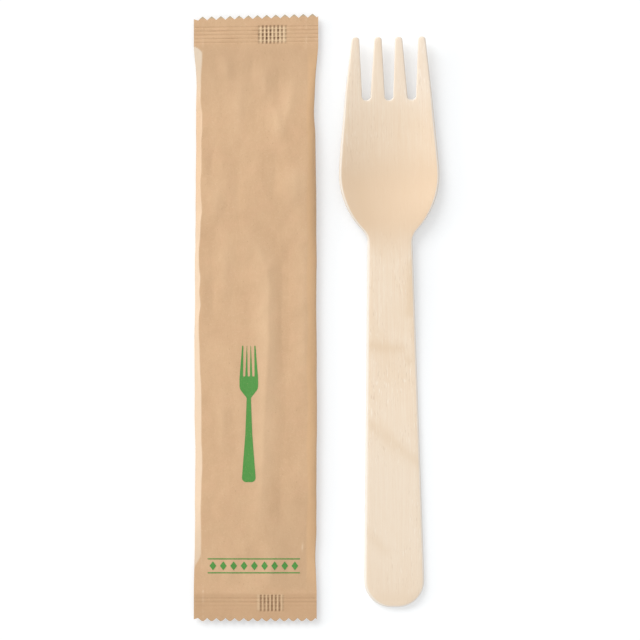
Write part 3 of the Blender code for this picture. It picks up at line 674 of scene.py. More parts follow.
def knife():
    """The pinked cut of one end: points across and their distance from the middle."""
    corner = TOOTH_ROOT + CORNER_SHARE * TOOTH_DEPTH
    teeth = int((SACHET_WIDTH - FIRST_TOOTH) / TOOTH_PITCH - CORNER_SHARE) + 1
    peaks = -SACHET_WIDTH / 2 + FIRST_TOOTH + TOOTH_PITCH * np.arange(teeth)
    across, out = [-SACHET_WIDTH / 2], [corner]
    for peak in peaks:
        across += [peak - TOOTH_PITCH / 2, peak]
        out += [TOOTH_ROOT, TOOTH_ROOT + TOOTH_DEPTH]
    across += [peaks[-1] + TOOTH_PITCH / 2, SACHET_WIDTH / 2]
    out += [TOOTH_ROOT, corner]
    return np.array(across), np.array(out)


def tooth_reach(u, v):
    """How far out the cut edge runs. The knife leaves the tips a little blunt, more so at the bottom."""
    across, out = knife()
    share = (np.interp(u, across, out) - TOOTH_ROOT) / TOOTH_DEPTH
    return TOOTH_ROOT + TOOTH_DEPTH * (share - at_end(v, *TIP_WEAR) * share**TIP_WEAR_POWER)


def grid_lines():
    """The sachet's columns and rows. Columns meet every tooth's tip and root, and crowd over the fin."""
    across, _ = knife()
    columns = []
    for a, b in zip(across, across[1:]):
        over_fin = b > FIN_START - FIN_MARGIN and a < FIN_START + FIN_WIDTH + FIN_MARGIN
        by_facet = a < LEFT_CREASE + TOOTH_PITCH / 2
        count = FIN_COLUMNS if over_fin else FACET_COLUMNS if by_facet else PANEL_COLUMNS
        columns += list(np.linspace(a, b, count, endpoint=False))
    columns.append(across[-1])
    body_end = BODY_END - MOUTH_ROWS_END
    body = np.linspace(0, body_end, round(body_end / BODY_ROW), endpoint=False)
    mouth = np.linspace(body_end, BODY_END, round(MOUTH_ROWS_END / MOUTH_ROW), endpoint=False)
    seal = np.linspace(BODY_END, HALF_LENGTH, round((HALF_LENGTH - BODY_END) / SEAL_ROW))
    upper = np.concatenate([body, mouth, seal])
    return np.array(columns), np.concatenate([-upper[:0:-1], upper])


def place_on_panel(u, v):
    """Carries the grid's columns to the sachet's edges and creases. The seals keep them as they are."""
    edge_l, crease_l, crease_r, edge_r = left_edge(v), left_crease(v), right_crease(v), right_edge(v)
    left = (u + SACHET_WIDTH / 2) / FIRST_TOOTH
    right = (SACHET_WIDTH / 2 - u) / RIGHT_HALF_WALL
    near_left = 1 - rising(u, LEFT_CREASE, CREASE_FADE)
    near_right = 1 - smooth((RIGHT_CREASE - u) / CREASE_FADE)
    x = u + (crease_l - LEFT_CREASE) * near_left + (crease_r - RIGHT_CREASE) * near_right
    x = np.where(left <= 1, blend(edge_l, crease_l, left), x)
    return np.where(right <= 1, blend(edge_r, crease_r, right), x)


def panel_shares(x, v):
    """The share of the tube's rise at points of the sachet, and their place across the panel."""
    edge_l, crease_r, edge_r = left_edge(v), right_crease(v), right_edge(v)
    facet = facet_share(v)
    crease_l = blend(edge_l, left_crease(v), np.maximum(facet, FACET_LEAST))
    left = np.clip((x - edge_l) / (crease_l - edge_l), 0, 1)
    right = np.clip((edge_r - x) / (edge_r - crease_r), 0, 1)
    middle = np.clip((x - crease_l) / (crease_r - crease_l), 0, 1)
    over_left = left * facet + (left >= 1) * (1 - facet) * (1 - (1 - middle) ** OPEN_SIDE_POWER)
    return np.minimum(over_left, np.sin(math.pi / 2 * right) ** RIGHT_WALL_POWER), middle


def lay(x, v):
    """The end that was cut askew, and the bottom that is drawn in on its right."""
    askew = x * math.tan(TOP_SKEW) * rising(v, TOP_SKEW_START, MOUTH_LENGTH)
    askew += x * math.tan(KNIFE_SKEW) * rising(v, BODY_END + RIB_COUNT * RIB_PITCH, SEAL_MARGIN)
    drawn_in = BOTTOM_NARROWING * rising(-v, BOTTOM_NARROWING_START, MOUTH_LENGTH)
    return x - drawn_in * np.maximum(0, 2 * x / SACHET_WIDTH), v + askew


def add_object(name, data):
    obj = bpy.data.objects.new(name, data)
    bpy.context.scene.collection.objects.link(obj)
    return obj


def mesh_object(name, verts, faces, material):
    mesh = bpy.data.meshes.new(name)
    mesh.from_pydata(verts, [], faces)
    mesh.materials.append(material)
    mesh.validate()
    mesh.shade_smooth()
    return add_object(name, mesh)


def set_attributes(mesh, fields):
    for name, values in fields.items():
        layer = mesh.attributes.new(name, "FLOAT", "POINT")
        layer.data.foreach_set("value", np.ascontiguousarray(values, dtype=np.float32))


def sachet_origin():
    """The sachet's middle, from its solid's left seal edge, in millimetres."""
    low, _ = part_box("paper_sachet")
    return low.x / MM + SACHET_WIDTH / 2


def crease_marks(x, v):
    """Pale lines where the paper is folded hard: the seals' side folds and the tube's left crease."""
    in_seal = rising(np.abs(v), *MARK_START)
    left = bell(x - LEFT_CREASE - MARK_INSET, LEFT_MARK_WIDTH) * at_end(v, *LEFT_MARK)
    right = bell(x - RIGHT_CREASE + MARK_INSET, RIGHT_MARK_WIDTH) * at_end(v, *RIGHT_MARK)
    broken = np.clip(patchy(v, x, MARK_BREAKS, seed=31), 0, 1)
    along_tube = TUBE_MARK * bell(x - left_crease(v), TUBE_MARK_WIDTH) * (1 - in_seal) * facet_share(v)
    tick = TICK * bell(x - TICK_AT[0], TICK_SIZE[0]) * bell(v - TICK_AT[1], TICK_SIZE[1])
    return np.clip((left + right) * in_seal * broken + along_tube + tick, 0, 1)


def cut_to_teeth(u, v):
    """Moves the outermost rows to the pinked cut."""
    base = TOOTH_ROOT - CUT_ROWS
    stretch = (tooth_reach(u, v) - base) / (HALF_LENGTH - base)
    return np.where(np.abs(v) > base, np.sign(v) * (base + (np.abs(v) - base) * stretch), v)


def sheet_faces(index):
    """Quads over a grid of points, over the grid below it, and round the rim between the two."""
    quads = np.stack([index[:-1, :-1], index[:-1, 1:], index[1:, 1:], index[1:, :-1]], axis=-1).reshape(-1, 4)
    rim = np.concatenate([index[0, :-1], index[:-1, -1], index[-1, :0:-1], index[:0:-1, 0]])
    following = np.roll(rim, -1)
    below = index.size
    walls = np.stack([rim, rim + below, following + below, following], axis=-1)
    return np.concatenate([quads, quads[:, ::-1] + below, walls])


def sharpen(mesh, chosen):
    """Makes an edge sharp by its angle, or because both its ends are chosen."""
    mesh.set_sharp_from_angle(angle=SHARP_ANGLE)
    ends = np.empty(2 * len(mesh.edges), dtype=np.int32)
    mesh.edges.foreach_get("vertices", ends)
    sharp = np.empty(len(mesh.edges), dtype=bool)
    mesh.edges.foreach_get("use_edge_sharp", sharp)
    mesh.edges.foreach_set("use_edge_sharp", sharp | chosen[ends].reshape(-1, 2).all(axis=1))


def paper_fields(x, v):
    """How strongly each tint of the paper shows at each point, painted light and painted shade among them."""
    pressed = pit_mask(x, v)
    facet_edge = blend(left_edge(v), left_crease(v), facet_share(v))
    from_seal = BODY_END - np.abs(v)
    # Painted shade on the top end's tooth tips, standing in for the back ply seen in shadow
    tip = rising(np.abs(v), HALF_LENGTH - TOOTH_DEPTH * TIP_SHADE_SHARE, TIP_SHADE_FADE)
    # Painted light on the left wall, strongest near the top seal
    wall_light = 1 + over_head(v) * (WALL_LIGHT_AT_TOP - WALL_LIGHT_LOSS * smooth((BODY_END - v) / WALL_LIGHT_RUN))
    # Painted shade just inside each seal
    seal_shade = rising(from_seal, *SEAL_SHADE_START) * (1 - rising(from_seal, SEAL_SHADE_LENGTH, at_end(v, *SEAL_SHADE_FADE)))
    return {
        "pressed": pressed,
        # Painted highlight between the pits, over the fin's crimped rows
        "between": over_fin_crimp(x, v) * (1 - pressed),
        # Painted shade in the grooves, as strong as each groove is deep
        "grooves": -rib_lift(x, v) / GROOVE_DEPTH,
        "tips": tip * smooth(v),
        "creases": crease_marks(x, v),
        "lower_seal": rising(-v, BODY_END, LOWER_SEAL_FADE),
        "lit_left_wall": smooth((facet_edge - x) / LEFT_WALL_FADE + LEFT_WALL_OVERLAP) * wall_light,
        "seal_shade": seal_shade * at_end(v, 1.0, smooth(x / SEAL_SHADE_SIDE_RUN)),
        # Fold crests paler, partly wear and partly painted highlight
        "crest_wear_and_highlight": np.clip(fold_relief(x, v, FRONT_FOLDS) / CREST_HIGHLIGHT_HEIGHT, 0, 1) * tube_opening(v),
        # Painted light on the right wall, which faces away from the lamps
        "lit_right_wall": rising(x, right_crease(v), RIGHT_WALL_FADE) * tube_opening(v),
    }


def build_sachet(paper):
    """The sealed sachet: a front sheet and a back sheet on one grid, joined round their rim."""
    columns, rows = grid_lines()
    u, v = np.meshgrid(columns, rows)
    v = cut_to_teeth(u, v)
    x = place_on_panel(u, v)
    front = front_height(x, v)
    back = np.minimum(back_height(x, v), front - LEAST_THICKNESS)
    plan_x, plan_y = lay(x, v)
    plan_x = plan_x + sachet_origin()
    sheets = [np.stack([plan_x, plan_y, z], axis=-1).reshape(-1, 3) for z in (front, back)]
    verts = np.concatenate(sheets) * MM
    index = np.arange(u.size).reshape(u.shape)
    sachet = mesh_object("sachet_paper", verts.tolist(), sheet_faces(index).tolist(), paper)
    crease_column = int(np.argmin(np.abs(columns - (FIRST_TOOTH - SACHET_WIDTH / 2))))
    on_crease = np.zeros(len(verts), dtype=bool)
    on_crease[index[:, crease_column][facet_share(rows) > CREASE_LEAST_FACET]] = True
    sharpen(sachet.data, on_crease)
    fields = {name: np.tile(values.ravel(), 2) for name, values in paper_fields(x, v).items()}
    set_attributes(sachet.data, fields)
    return sachet


def rounded(corners, arc_step):
    """A closed outline through corners given as (x, y, radius). Two arcs on one side share its length."""
    points = [Vector((x, y)) for x, y, _ in corners]
    count = len(points)
    before = [(points[i - 1] - points[i]).normalized() for i in range(count)]
    after = [(points[(i + 1) % count] - points[i]).normalized() for i in range(count)]
    openings = [b.angle(a) for b, a in zip(before, after)]
    reaches = [radius / math.tan(opening / 2) for (_, _, radius), opening in zip(corners, openings)]
    fits = [1.0] * count
    for i in range(count):
        wanted = reaches[i - 1] + reaches[i]
        room = (points[i] - points[i - 1]).length
        if wanted > room:
            fits[i - 1] = min(fits[i - 1], room / wanted)
            fits[i] = min(fits[i], room / wanted)
    outline = []
    for i, (_, _, radius) in enumerate(corners):
        if radius == 0:
            outline.append(points[i])
            continue
        from_corner = radius * fits[i] / math.sin(openings[i] / 2)
        centre = points[i] + (before[i] + after[i]).normalized() * from_corner
        first = points[i] + before[i] * reaches[i] * fits[i] - centre
        last = points[i] + after[i] * reaches[i] * fits[i] - centre
        turn = first.angle_signed(last)
        steps = max(1, math.ceil(abs(turn) / arc_step))
        outline += [centre + Matrix.Rotation(-turn * k / steps, 2) @ first for k in range(steps + 1)]
    return [p for p, q in zip(outline, outline[-1:] + outline[:-1]) if (p - q).length > SAME_POINT]


def divided(outline, step):
    """The closed outline with points added along its long straight runs."""
    result = []
    for a, b in zip(outline, outline[1:] + outline[:1]):
        count = max(1, math.ceil((b - a).length / step))
        result += [a.lerp(b, i / count) for i in range(count)]
    return result


def filled(outline, step):
    """Triangles over the inside of an outline, on points spread over it, and the outline's own points."""
    xs, ys = [p.x for p in outline], [p.y for p in outline]
    loop = np.array(outline)
    runs = np.roll(loop, -1, axis=0) - loop
    coords = list(outline)
    for k, y in enumerate(np.arange(min(ys), max(ys), step)):
        for x in np.arange(min(xs) + step / 2 * (k % 2), max(xs), step):
            away = np.array((x, y)) - loop
            t = np.clip((away * runs).sum(axis=1) / (runs * runs).sum(axis=1), 0, 1)
            if np.linalg.norm(away - runs * t[:, None], axis=1).min() > step * LEAST_FROM_RIM:
                coords.append(Vector((x, y)))
    ring = [list(range(len(outline)))]
    flat, _, triangles, sources, _, _ = geometry.delaunay_2d_cdt(coords, [], ring, KEEP_INSIDE, WELD)
    used = sorted({i for triangle in triangles for i in triangle})
    place = {old: new for new, old in enumerate(used)}
    rim_of = {given: made for made, givens in enumerate(sources) for given in givens}
    rim = [place[rim_of[i]] for i in range(len(outline))]
    return [flat[i] for i in used], [[place[i] for i in triangle] for triangle in triangles], rim


def corner_pair(middle, width, level, radius):
    """Two corners of an outline on one level, the right one first."""
    return [(middle + width / 2, level, radius), (middle - width / 2, level, radius)]


def icon_outline():
    """The fork pictogram: four tines, a rounded head and a handle that widens to its end."""
    top = ICON_LENGTH / 2
    root = top - ICON_TINE_LENGTH
    neck = top - ICON_HEAD_LENGTH
    tip_pitch = (ICON_TIP_WIDTH + ICON_GAP) / 4
    root_pitch = (ICON_HEAD_WIDTH * ICON_ROOT_SHARE + ICON_GAP) / 4
    tip_gap = ICON_GAP + tip_pitch * ICON_TIP_TAPER
    side = [
        (ICON_END_WIDTH / 2, -top, ICON_END_ROUND),
        (ICON_SWELL_WIDTH / 2, ICON_SWELL_AT - top, ICON_SWELL_ROUND),
        (ICON_NECK_WIDTH / 2, neck, ICON_NECK_ROUND),
        (ICON_HEAD_WIDTH / 2, neck + ICON_SHOULDER_FROM_NECK, ICON_SHOULDER_ROUND),
        (ICON_HEAD_WIDTH / 2, root - ICON_SIDE_FROM_ROOT, ICON_SIDE_ROUND),
        (ICON_TIP_WIDTH / 2, top, ICON_TIP_ROUND),
    ]
    corners = list(side)
    for gap in (1, 0, -1):
        tip_u, root_u = gap * tip_pitch, gap * root_pitch
        right, left = corner_pair(tip_u, tip_gap, top, ICON_TIP_ROUND)
        corners += [right, *corner_pair(root_u, ICON_ROOT_GAP, root, ICON_ROOT_ROUND), left]
    corners += [(-u, v, radius) for u, v, radius in reversed(side)]
    centre = Vector((ICON_FROM_MIDDLE, ICON_FROM_SEAL - BODY_END))
    return [p + centre for p in rounded(corners, ICON_ARC_STEP)]


def border_outlines():
    """A row of lozenges between two thin rules, across the panel."""
    level = BORDER_FROM_SEAL - BODY_END
    length = PANEL_WIDTH - 2 * BORDER_MARGIN
    count = int(length / LOZENGE_PITCH)
    half_w, half_h = LOZENGE_WIDTH / 2, LOZENGE_HEIGHT / 2
    lozenge = [Vector(corner) for corner in ((-half_w, 0), (0, -half_h), (half_w, 0), (0, half_h))]
    outlines = []
    for i in range(count):
        centre = Vector((PANEL_MIDDLE + LOZENGE_PITCH * (i - (count - 1) / 2), level))
        outlines.append([centre + corner for corner in lozenge])
    for side in (-1, 1):
        centre = Vector((PANEL_MIDDLE, level + side * (half_h + RULE_GAP + RULE_WIDTH / 2)))
        outlines.append([centre + Vector((a * length / 2, b * RULE_WIDTH / 2)) for a, b in SQUARE])
    return outlines


def build_print(ink):
    """The ink, as flat fields that lie on the paper's relief."""
    verts, faces = [], []
    for outline in [icon_outline()] + border_outlines():
        flat, triangles, _ = filled(divided(outline, PRINT_STEP), PRINT_STEP)
        x, v = np.array(flat).T
        z = front_height(x, v) + INK_LIFT
        plan_x, plan_y = lay(x, v)
        first = len(verts)
        verts += (np.stack([plan_x + sachet_origin(), plan_y, z], axis=-1) * MM).tolist()
        faces += [[first + i for i in triangle] for triangle in triangles]
    return mesh_object("sachet_print", verts, faces, ink)


def fork_outline():
    """The die-cut outline, anticlockwise from the handle's end, with its length along +Y from 0."""
    slot_end = FORK_LENGTH - SLOT_DEPTH
    tine_pitch = (TIP_WIDTH - TINE_TIP_WIDTH) / 3
    slot_pitch = SLOT_END_WIDTH + INNER_TINE_ROOT_WIDTH
    side = [
        (HANDLE_END_WIDTH / 2, 0.0, HANDLE_END_ROUND),
        (HANDLE_END_WIDTH / 2, HANDLE_TAPER_START, 0.0),
        (NECK_WIDTH / 2, NECK_AT, NECK_FILLET),
        (HEAD_WIDTH / 2 + SHOULDER_OVERHANG, NECK_AT + SHOULDER_FROM_NECK, SHOULDER_ROUND),
        (SIDE_WIDTH / 2, FORK_LENGTH - SIDE_FROM_TIP, SIDE_ROUND),
    ]
    corners = list(side)
    for i in (3, 2, 1, 0):
        tine = tine_pitch * (i - 1.5) + TINE_LEANS[i]
        slot = slot_pitch * (i - 2) + SLOT_LEAN
        corners += corner_pair(tine, TINE_TIP_WIDTH, FORK_LENGTH, TINE_TIP_ROUND)
        if i > 0:
            corners += corner_pair(slot, SLOT_END_WIDTH, slot_end, SLOT_END_WIDTH / 2)
    corners += [(-x, y, radius) for x, y, radius in reversed(side)]
    return divided(rounded(corners, ARC_STEP), VENEER_STEP)


def pressed_height(x, y):
    """The underside of the pressed veneer: flat handle, raised neck, dished head and rising tines."""
    climb = rising(y, HANDLE_FLAT_LENGTH, NECK_AT - HANDLE_FLAT_LENGTH)
    descent = 1 - rising(y, NECK_AT, BELLY_FROM_NECK)
    tip = TIP_LIFT * rising(y, BELLY_AT, TIP_LIFT_RUN)
    dish_in = rising(y, NECK_AT - DISH_BEFORE_NECK, DISH_BEFORE_NECK + DISH_AFTER_NECK)
    dish_out = blend(1, DISH_LEFT_AT_TIPS, rising(y, BELLY_AT, FORK_LENGTH - BELLY_AT))
    dish = DISH_DEPTH * dish_in * dish_out * (2 * x / HEAD_WIDTH) ** 2
    return NECK_LIFT * np.where(y > NECK_AT, descent, climb) + tip + dish


def veneer_points(x, y, height):
    """Points at a height inside the veneer, measured square to the pressed sheet, in millimetres."""
    waves = patchy(x, y, VENEER_WAVES, seed=41) * rising(y, *WAVES_START)
    slope_x = (pressed_height(x + SLOPE_STEP, y) - pressed_height(x - SLOPE_STEP, y)) / (2 * SLOPE_STEP)
    slope_y = (pressed_height(x, y + SLOPE_STEP) - pressed_height(x, y - SLOPE_STEP)) / (2 * SLOPE_STEP)
    up = height / np.sqrt(slope_x**2 + slope_y**2 + 1)
    return np.stack([x - slope_x * up, y - slope_y * up, pressed_height(x, y) + waves + up], axis=-1)


def inset(outline, distance):
    """The closed outline moved inwards. In a tight corner no point moves by over twice the distance."""
    before = outline - np.roll(outline, 1, axis=0)
    after = np.roll(outline, -1, axis=0) - outline
    before /= np.linalg.norm(before, axis=1)[:, None]
    after /= np.linalg.norm(after, axis=1)[:, None]
    inward = np.stack([-(before + after)[:, 1], (before + after)[:, 0]], axis=-1)
    inward /= np.linalg.norm(inward, axis=1)[:, None]
    cosine = np.clip((inward * np.stack([-before[:, 1], before[:, 0]], axis=-1)).sum(axis=1), 0.5, 1)
    return outline + inward * (distance / cosine)[:, None]


def edge_rounding(outline, shaded):
    """The radius to which the edge is tumbled at each point, less where it faces away from the light."""
    along = outline[:, 1]
    rounding = blend(HANDLE_ROUND, HEAD_ROUND, rising(along, *HEAD_ROUND_START))
    rounding *= 1 - (1 - SHADED_ROUND_SHARE) * shaded * smooth((SHADED_END - along) / SHADED_END_RUN)
    return rounding + (TINE_ROUND - HEAD_ROUND) * rising(along, *TINE_ROUND_START)


def lay_fork(local, outline):
    """The fork's points, turned as it lies in the photo and moved onto its solid, in metres."""
    _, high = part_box("wooden_fork")
    cosine, sine = math.cos(FORK_TURN), math.sin(FORK_TURN)
    turn = np.array([[cosine, sine], [-sine, cosine]])
    move = (high.x / MM - (outline @ turn)[:, 0].max(), FORK_OFFSET - FORK_LENGTH / 2)
    return np.column_stack([local[:, :2] @ turn + move, local[:, 2]]) * MM


def wood_fields(x, y):
    """How strongly each shade of the wood shows at points across and along the fork. The pale one is painted
    light.
    """
    figure = np.zeros(x.shape)
    for line, spread in FIGURE_STREAKS:
        distance, _ = line_distance(x, y, line)
        figure = np.maximum(figure, bell(distance, spread))
    # Darker from just before the neck over the head, less so towards the tines, and a little darker at the
    # handle's end
    darker_zones = rising(y, *DARKER_ZONE_START) * (1 - DARKER_ZONE_WANE_SHARE * rising(y, *DARKER_ZONE_WANE))
    darker_zones *= 1 - rising(y, *DARKER_ZONE_END)
    return {
        "figure": figure,
        "darker_zones": np.maximum(darker_zones, DARKER_AT_HANDLE_END_SHARE * (1 - rising(y, *DARKER_AT_HANDLE_END))),
        # Painted light: the tines and top of the head paler, more so on the right
        "pale": rising(y, *PALE_START) * blend(PALE_LEAST, 1, rising(x, *PALE_ACROSS)),
        "greyed": 1 - rising(y, *GREYED_END),
    }


def build_fork(birch):
    """The pressed veneer, with its edges tumbled round: two faces, joined by rings of the outline."""
    outline = np.array(fork_outline())
    shaded = smooth((outline - inset(outline, 1.0)) @ AWAY_FROM_LIGHT)
    rounding = edge_rounding(outline, shaded)
    flat, triangles, rim = filled([Vector(p) for p in inset(outline, rounding)], VENEER_STEP)
    flat = np.array(flat)
    turns = np.linspace(0, math.pi / 2, ROUND_STEPS + 1)[1:]
    rounds = [(rounding * (1 - math.sin(a)), rounding * (1 - math.cos(a))) for a in turns]
    rings = [(side, VENEER - drop) for side, drop in rounds]
    rings += reversed(rounds)
    points = [veneer_points(*flat.T, VENEER), veneer_points(*flat.T, 0.0)]
    loops = [rim]
    for k, (side, height) in enumerate(rings):
        points.append(veneer_points(*inset(outline, side).T, height))
        loops.append([2 * len(flat) + k * len(outline) + i for i in range(len(outline))])
    loops.append([i + len(flat) for i in rim])
    faces = [list(t) for t in triangles] + [[i + len(flat) for i in reversed(t)] for t in triangles]
    for upper, lower in zip(loops, loops[1:]):
        for i in range(len(outline)):
            faces.append([upper[i - 1], lower[i - 1], lower[i], upper[i]])
    local = np.concatenate(points)
    fork = mesh_object("fork_veneer", lay_fork(local, outline).tolist(), faces, birch)
    fields = wood_fields(local[:, 0], local[:, 1])
    on_tines = rising(local[2 * len(flat):, 1], FORK_LENGTH - SLOT_DEPTH, TINE_EDGE_FADE)
    no_edge = np.zeros(2 * len(flat))
    fields["edge"] = np.concatenate([no_edge, 1 - TINE_EDGE_LOSS * on_tines])
    # Painted light on the rims that face away from the lamps
    fields["lit_far_edge"] = np.concatenate([no_edge, np.tile(shaded, len(rings))])
    set_attributes(fork.data, fields)
    return fork


def add_node(tree, kind, inputs=(), **settings):
    """Adds a shader node. Inputs are (socket, value or output) pairs."""
    node = tree.nodes.new(kind)
    for key, value in settings.items():
        setattr(node, key, value)
    for socket, value in inputs:
        if isinstance(value, bpy.types.NodeSocket):
            tree.links.new(value, node.inputs[socket])
        else:
            node.inputs[socket].default_value = value
    return node


def math_node(tree, operation, *values):
    return add_node(tree, "ShaderNodeMath", enumerate(values), operation=operation).outputs[0]


def mix_colour(tree, factor, a, b):
    return add_node(tree, "ShaderNodeMix", [(0, factor), (6, a), (7, b)], data_type="RGBA").outputs[2]


def attribute(tree, name):
    return add_node(tree, "ShaderNodeAttribute", attribute_name=name).outputs["Fac"]


def tinted(tree, colour, tints):
    """Lays tints over a colour, each as strongly as the mesh's attribute of its name says, times a share."""
    for name, share, tint in tints:
        colour = mix_colour(tree, math_node(tree, "MULTIPLY", attribute(tree, name), share), colour, tint)
    return colour


def texture(tree, features, turn=0.0, detail=2.0, roughness=0.5, distortion=0.0):
    """Noise on the object, turned in plan, with so many features a millimetre along each axis."""
    coordinates = add_node(tree, "ShaderNodeTexCoord").outputs["Object"]
    turned = add_node(tree, "ShaderNodeMapping", [(0, coordinates), ("Rotation", (0, 0, turn))]).outputs[0]
    stretch = [(0, turned), ("Scale", [count / MM for count in features])]
    place = add_node(tree, "ShaderNodeMapping", stretch).outputs[0]
    inputs = [("Vector", place), ("Scale", 1.0), ("Detail", detail), ("Roughness", roughness)]
    inputs.append(("Distortion", distortion))
    return add_node(tree, "ShaderNodeTexNoise", inputs).outputs["Fac"]


def ranged(tree, value, low, high, out_low=0.0, out_high=1.0):
    inputs = enumerate((value, low, high, out_low, out_high))
    return add_node(tree, "ShaderNodeMapRange", inputs).outputs["Result"]


def laid_over(tree, colour, value, low, high, share, tint):
    """Lays a tint over a colour, from none where the value is low to its full share where it is high."""
    return mix_colour(tree, ranged(tree, value, low, high, 0.0, share), colour, tint)


def bump(tree, height, distance, strength, normal=None):
    inputs = [("Height", height), ("Distance", distance), ("Strength", strength)]
    if normal is not None:
        inputs.append(("Normal", normal))
    return add_node(tree, "ShaderNodeBump", inputs).outputs[0]


def new_material(name):
    material = bpy.data.materials.new(name)
    material.use_nodes = True
    return material, material.node_tree, material.node_tree.nodes["Principled BSDF"]


def dress(tree, shader, colour, grain, roughness, normal):
    """Gives a surface its colour, a roughness that follows its grain, and its bumps."""
    rough = ranged(tree, grain, 0.3, 0.7, *roughness)
    for socket, output in (("Base Color", colour), ("Roughness", rough), ("Normal", normal)):
        tree.links.new(output, shader.inputs[socket])


def paper_colour(tree):
    """Brown kraft: cloudy, with long fibres, short pale fibres and a few dark specks."""
    cloud = texture(tree, (0.16, 0.1, 0.16), 0, 4.0, 0.6)
    warm = texture(tree, (0.22, 0.3, 0.22))
    fibres = texture(tree, (5.0, 0.8, 3.0), LONG_FIBRE_TURN, 3.0, 0.6)
    cross = texture(tree, (1.6, 6.0, 3.0), SHORT_FIBRE_TURN, 2.0, 0.6)
    specks = texture(tree, (2.4, 1.5, 2.4), 0, 1.0)
    colour = mix_colour(tree, ranged(tree, cloud, 0.3, 0.7), *KRAFT_SHADES)
    colour = laid_over(tree, colour, warm, *KRAFT_WARM)
    colour = laid_over(tree, colour, fibres, *DARK_FIBRE)
    colour = laid_over(tree, colour, cross, *PALE_FIBRE)
    return laid_over(tree, colour, specks, *SPECK), fibres, cross


def kraft_paper():
    """Uncoated paper, with a slight sheen on its worn fibres."""
    material, tree, shader = new_material("kraft_paper")
    colour, fibres, cross = paper_colour(tree)
    shader.inputs["Sheen Weight"].default_value = PAPER_SHEEN
    large = bump(tree, texture(tree, (0.5, 0.35, 0.5)), PAPER_CRUMPLE_DEPTH, 0.6)
    small = bump(tree, math_node(tree, "ADD", fibres, cross), PAPER_FIBRE_DEPTH, 0.7, large)
    dress(tree, shader, tinted(tree, colour, PAPER_TINTS), fibres, PAPER_ROUGHNESS, small)
    return material


def green_ink():
    """Matt ink, a little patchy, with pinholes that show the paper."""
    material, tree, shader = new_material("green_ink")
    patches = texture(tree, (3.0, 1.2, 3.0), 0, 4.0, 0.65)
    colour = mix_colour(tree, ranged(tree, patches, 0.35, 0.7), *INK_SHADES)
    pinholes = texture(tree, (5.0, 3.0, 5.0))
    colour = laid_over(tree, colour, pinholes, *INK_PINHOLE)
    dress(tree, shader, colour, patches, INK_ROUGHNESS, bump(tree, pinholes, INK_DEPTH, 0.6))
    return material


def birch_colour(tree):
    """Pale birch: fine lengthwise grain, clouds, and short dark and pale flecks that come in patches."""
    grain = texture(tree, (2.2, 0.05, 0.6), -FORK_TURN, 5.0, 0.62, 0.15)
    fine = texture(tree, (9.0, 0.28, 2.0), -FORK_TURN, 3.0, 0.6)
    pores = texture(tree, (3.6, 0.42, 2.0), -FORK_TURN, 1.5)
    streaks = texture(tree, (3.1, 0.36, 1.7), -FORK_TURN, 1.5)
    cloud = texture(tree, (0.12, 0.05, 0.1), CLOUD_TURN, 3.0, 0.55)
    patches = texture(tree, (0.11, 0.07, 0.1), PATCH_TURN, 2.0)
    fleck_share = ranged(tree, patches, 0.42, 0.6, 0.15, 0.75)
    colour = mix_colour(tree, ranged(tree, grain, 0.34, 0.68), *BIRCH_SHADES)
    colour = laid_over(tree, colour, fine, *BIRCH_FINE_GRAIN)
    colour = laid_over(tree, colour, cloud, *BIRCH_CLOUD)
    for flecks, shade in ((pores, DARK_FLECK), (streaks, PALE_FLECK)):
        share = math_node(tree, "MULTIPLY", ranged(tree, flecks, 0.6, 0.7), fleck_share)
        colour = mix_colour(tree, share, colour, shade)
    return colour, grain, fine


def birch_veneer():
    """Bare veneer, pressed smooth, with its layers showing on the cut edge, and painted light where that edge
    faces away from the lamps.
    """
    material, tree, shader = new_material("birch_veneer")
    colour, grain, fine = birch_colour(tree)
    colour = tinted(tree, colour, WOOD_TINTS)
    layers = texture(tree, (0.5, 0.5, 5.0), 0, 3.0, 0.6)
    cut = mix_colour(tree, ranged(tree, layers, 0.3, 0.7), *CUT_SHADES)
    cut = mix_colour(tree, attribute(tree, "lit_far_edge"), cut, LIT_FAR_CUT)
    colour = tinted(tree, colour, [("edge", CUT_SHARE, cut)])
    large = bump(tree, grain, GRAIN_DEPTH, 0.4)
    dress(tree, shader, colour, fine, WOOD_ROUGHNESS, bump(tree, fine, FINE_GRAIN_DEPTH, 0.6, large))
    return material


def seen_directly(tree):
    """1 for what the camera sees, also in a reflection or through glass."""
    path = add_node(tree, "ShaderNodeLightPath").outputs
    seen = math_node(tree, "MAXIMUM", path["Is Camera Ray"], path["Is Glossy Ray"])
    return math_node(tree, "MAXIMUM", seen, path["Is Transmission Ray"])


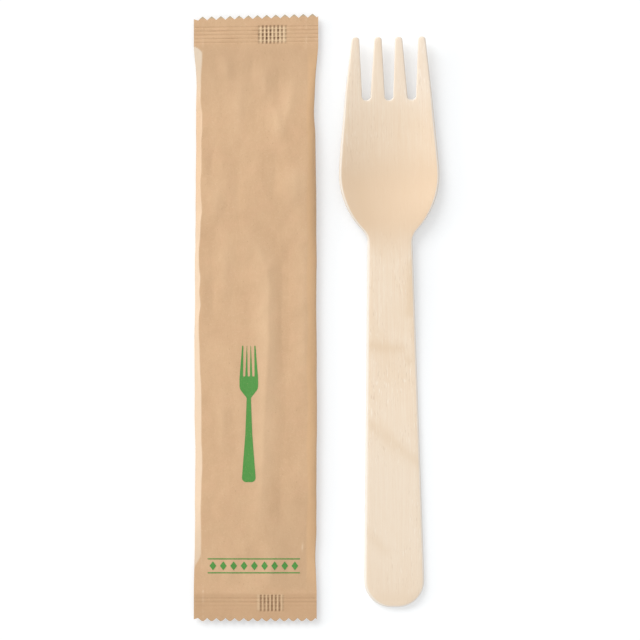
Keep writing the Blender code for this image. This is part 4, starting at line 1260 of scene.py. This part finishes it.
def build_floor():
    """A white table that is pure white to the camera and keeps the shadows."""
    material, tree, shader = new_material("white_table")
    seen = seen_directly(tree)
    colour = mix_colour(tree, seen, FLOOR_COLOUR, FLOOR_SEEN_COLOUR)
    diffuse = add_node(tree, "ShaderNodeBsdfDiffuse", [("Color", colour)]).outputs[0]
    strength = math_node(tree, "MULTIPLY", seen, FLOOR_GLOW)
    glow = add_node(tree, "ShaderNodeEmission", [("Strength", strength)]).outputs[0]
    both = add_node(tree, "ShaderNodeAddShader", [(0, diffuse), (1, glow)]).outputs[0]
    tree.links.new(both, tree.nodes["Material Output"].inputs["Surface"])
    tree.nodes.remove(shader)
    corners = [(a * FLOOR_HALF_SIDE, b * FLOOR_HALF_SIDE, 0) for a, b in SQUARE]
    floor = mesh_object("table", corners, [(0, 1, 2, 3)], material)
    floor.location.z = -FLOOR_GAP


def add_lamp(name, energy, spread, direction):
    sun = bpy.data.lights.new(name, "SUN")
    sun.energy = energy
    sun.angle = math.radians(spread)
    add_object(name, sun).rotation_euler = Vector(direction).to_track_quat("-Z", "Y").to_euler()


def build_light():
    """A soft key from the upper left, a low lamp that skims the paper, and an even white surround."""
    add_lamp("key", *KEY)
    add_lamp("skim", *SKIM)
    world = bpy.data.worlds.new("surround")
    bpy.context.scene.world = world
    world.use_nodes = True
    tree = world.node_tree
    background = tree.nodes["Background"]
    background.inputs["Color"].default_value = (1.0, 1.0, 1.0, 1.0)
    strength = math_node(tree, "MULTIPLY_ADD", seen_directly(tree), 1 - SURROUND, SURROUND)
    tree.links.new(strength, background.inputs["Strength"])


def build_camera():
    lens = bpy.data.cameras.new("camera")
    lens.sensor_width = SENSOR
    lens.lens = SENSOR * CAMERA_HEIGHT / (PIXEL * PICTURE_SIDE)
    camera = add_object("camera", lens)
    camera.location = (*CAMERA_AIM, CAMERA_HEIGHT)
    bpy.context.scene.camera = camera


def main():
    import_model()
    paper, ink = kraft_paper(), green_ink()
    sachet = build_sachet(paper)
    fork = build_fork(birch_veneer())
    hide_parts("paper_sachet")
    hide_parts("wooden_fork")
    for piece in (sachet, build_print(ink), fork):
        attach(piece, "root")
    build_floor()
    build_light()
    build_camera()
    bpy.context.scene.view_settings.view_transform = "Standard"


main()
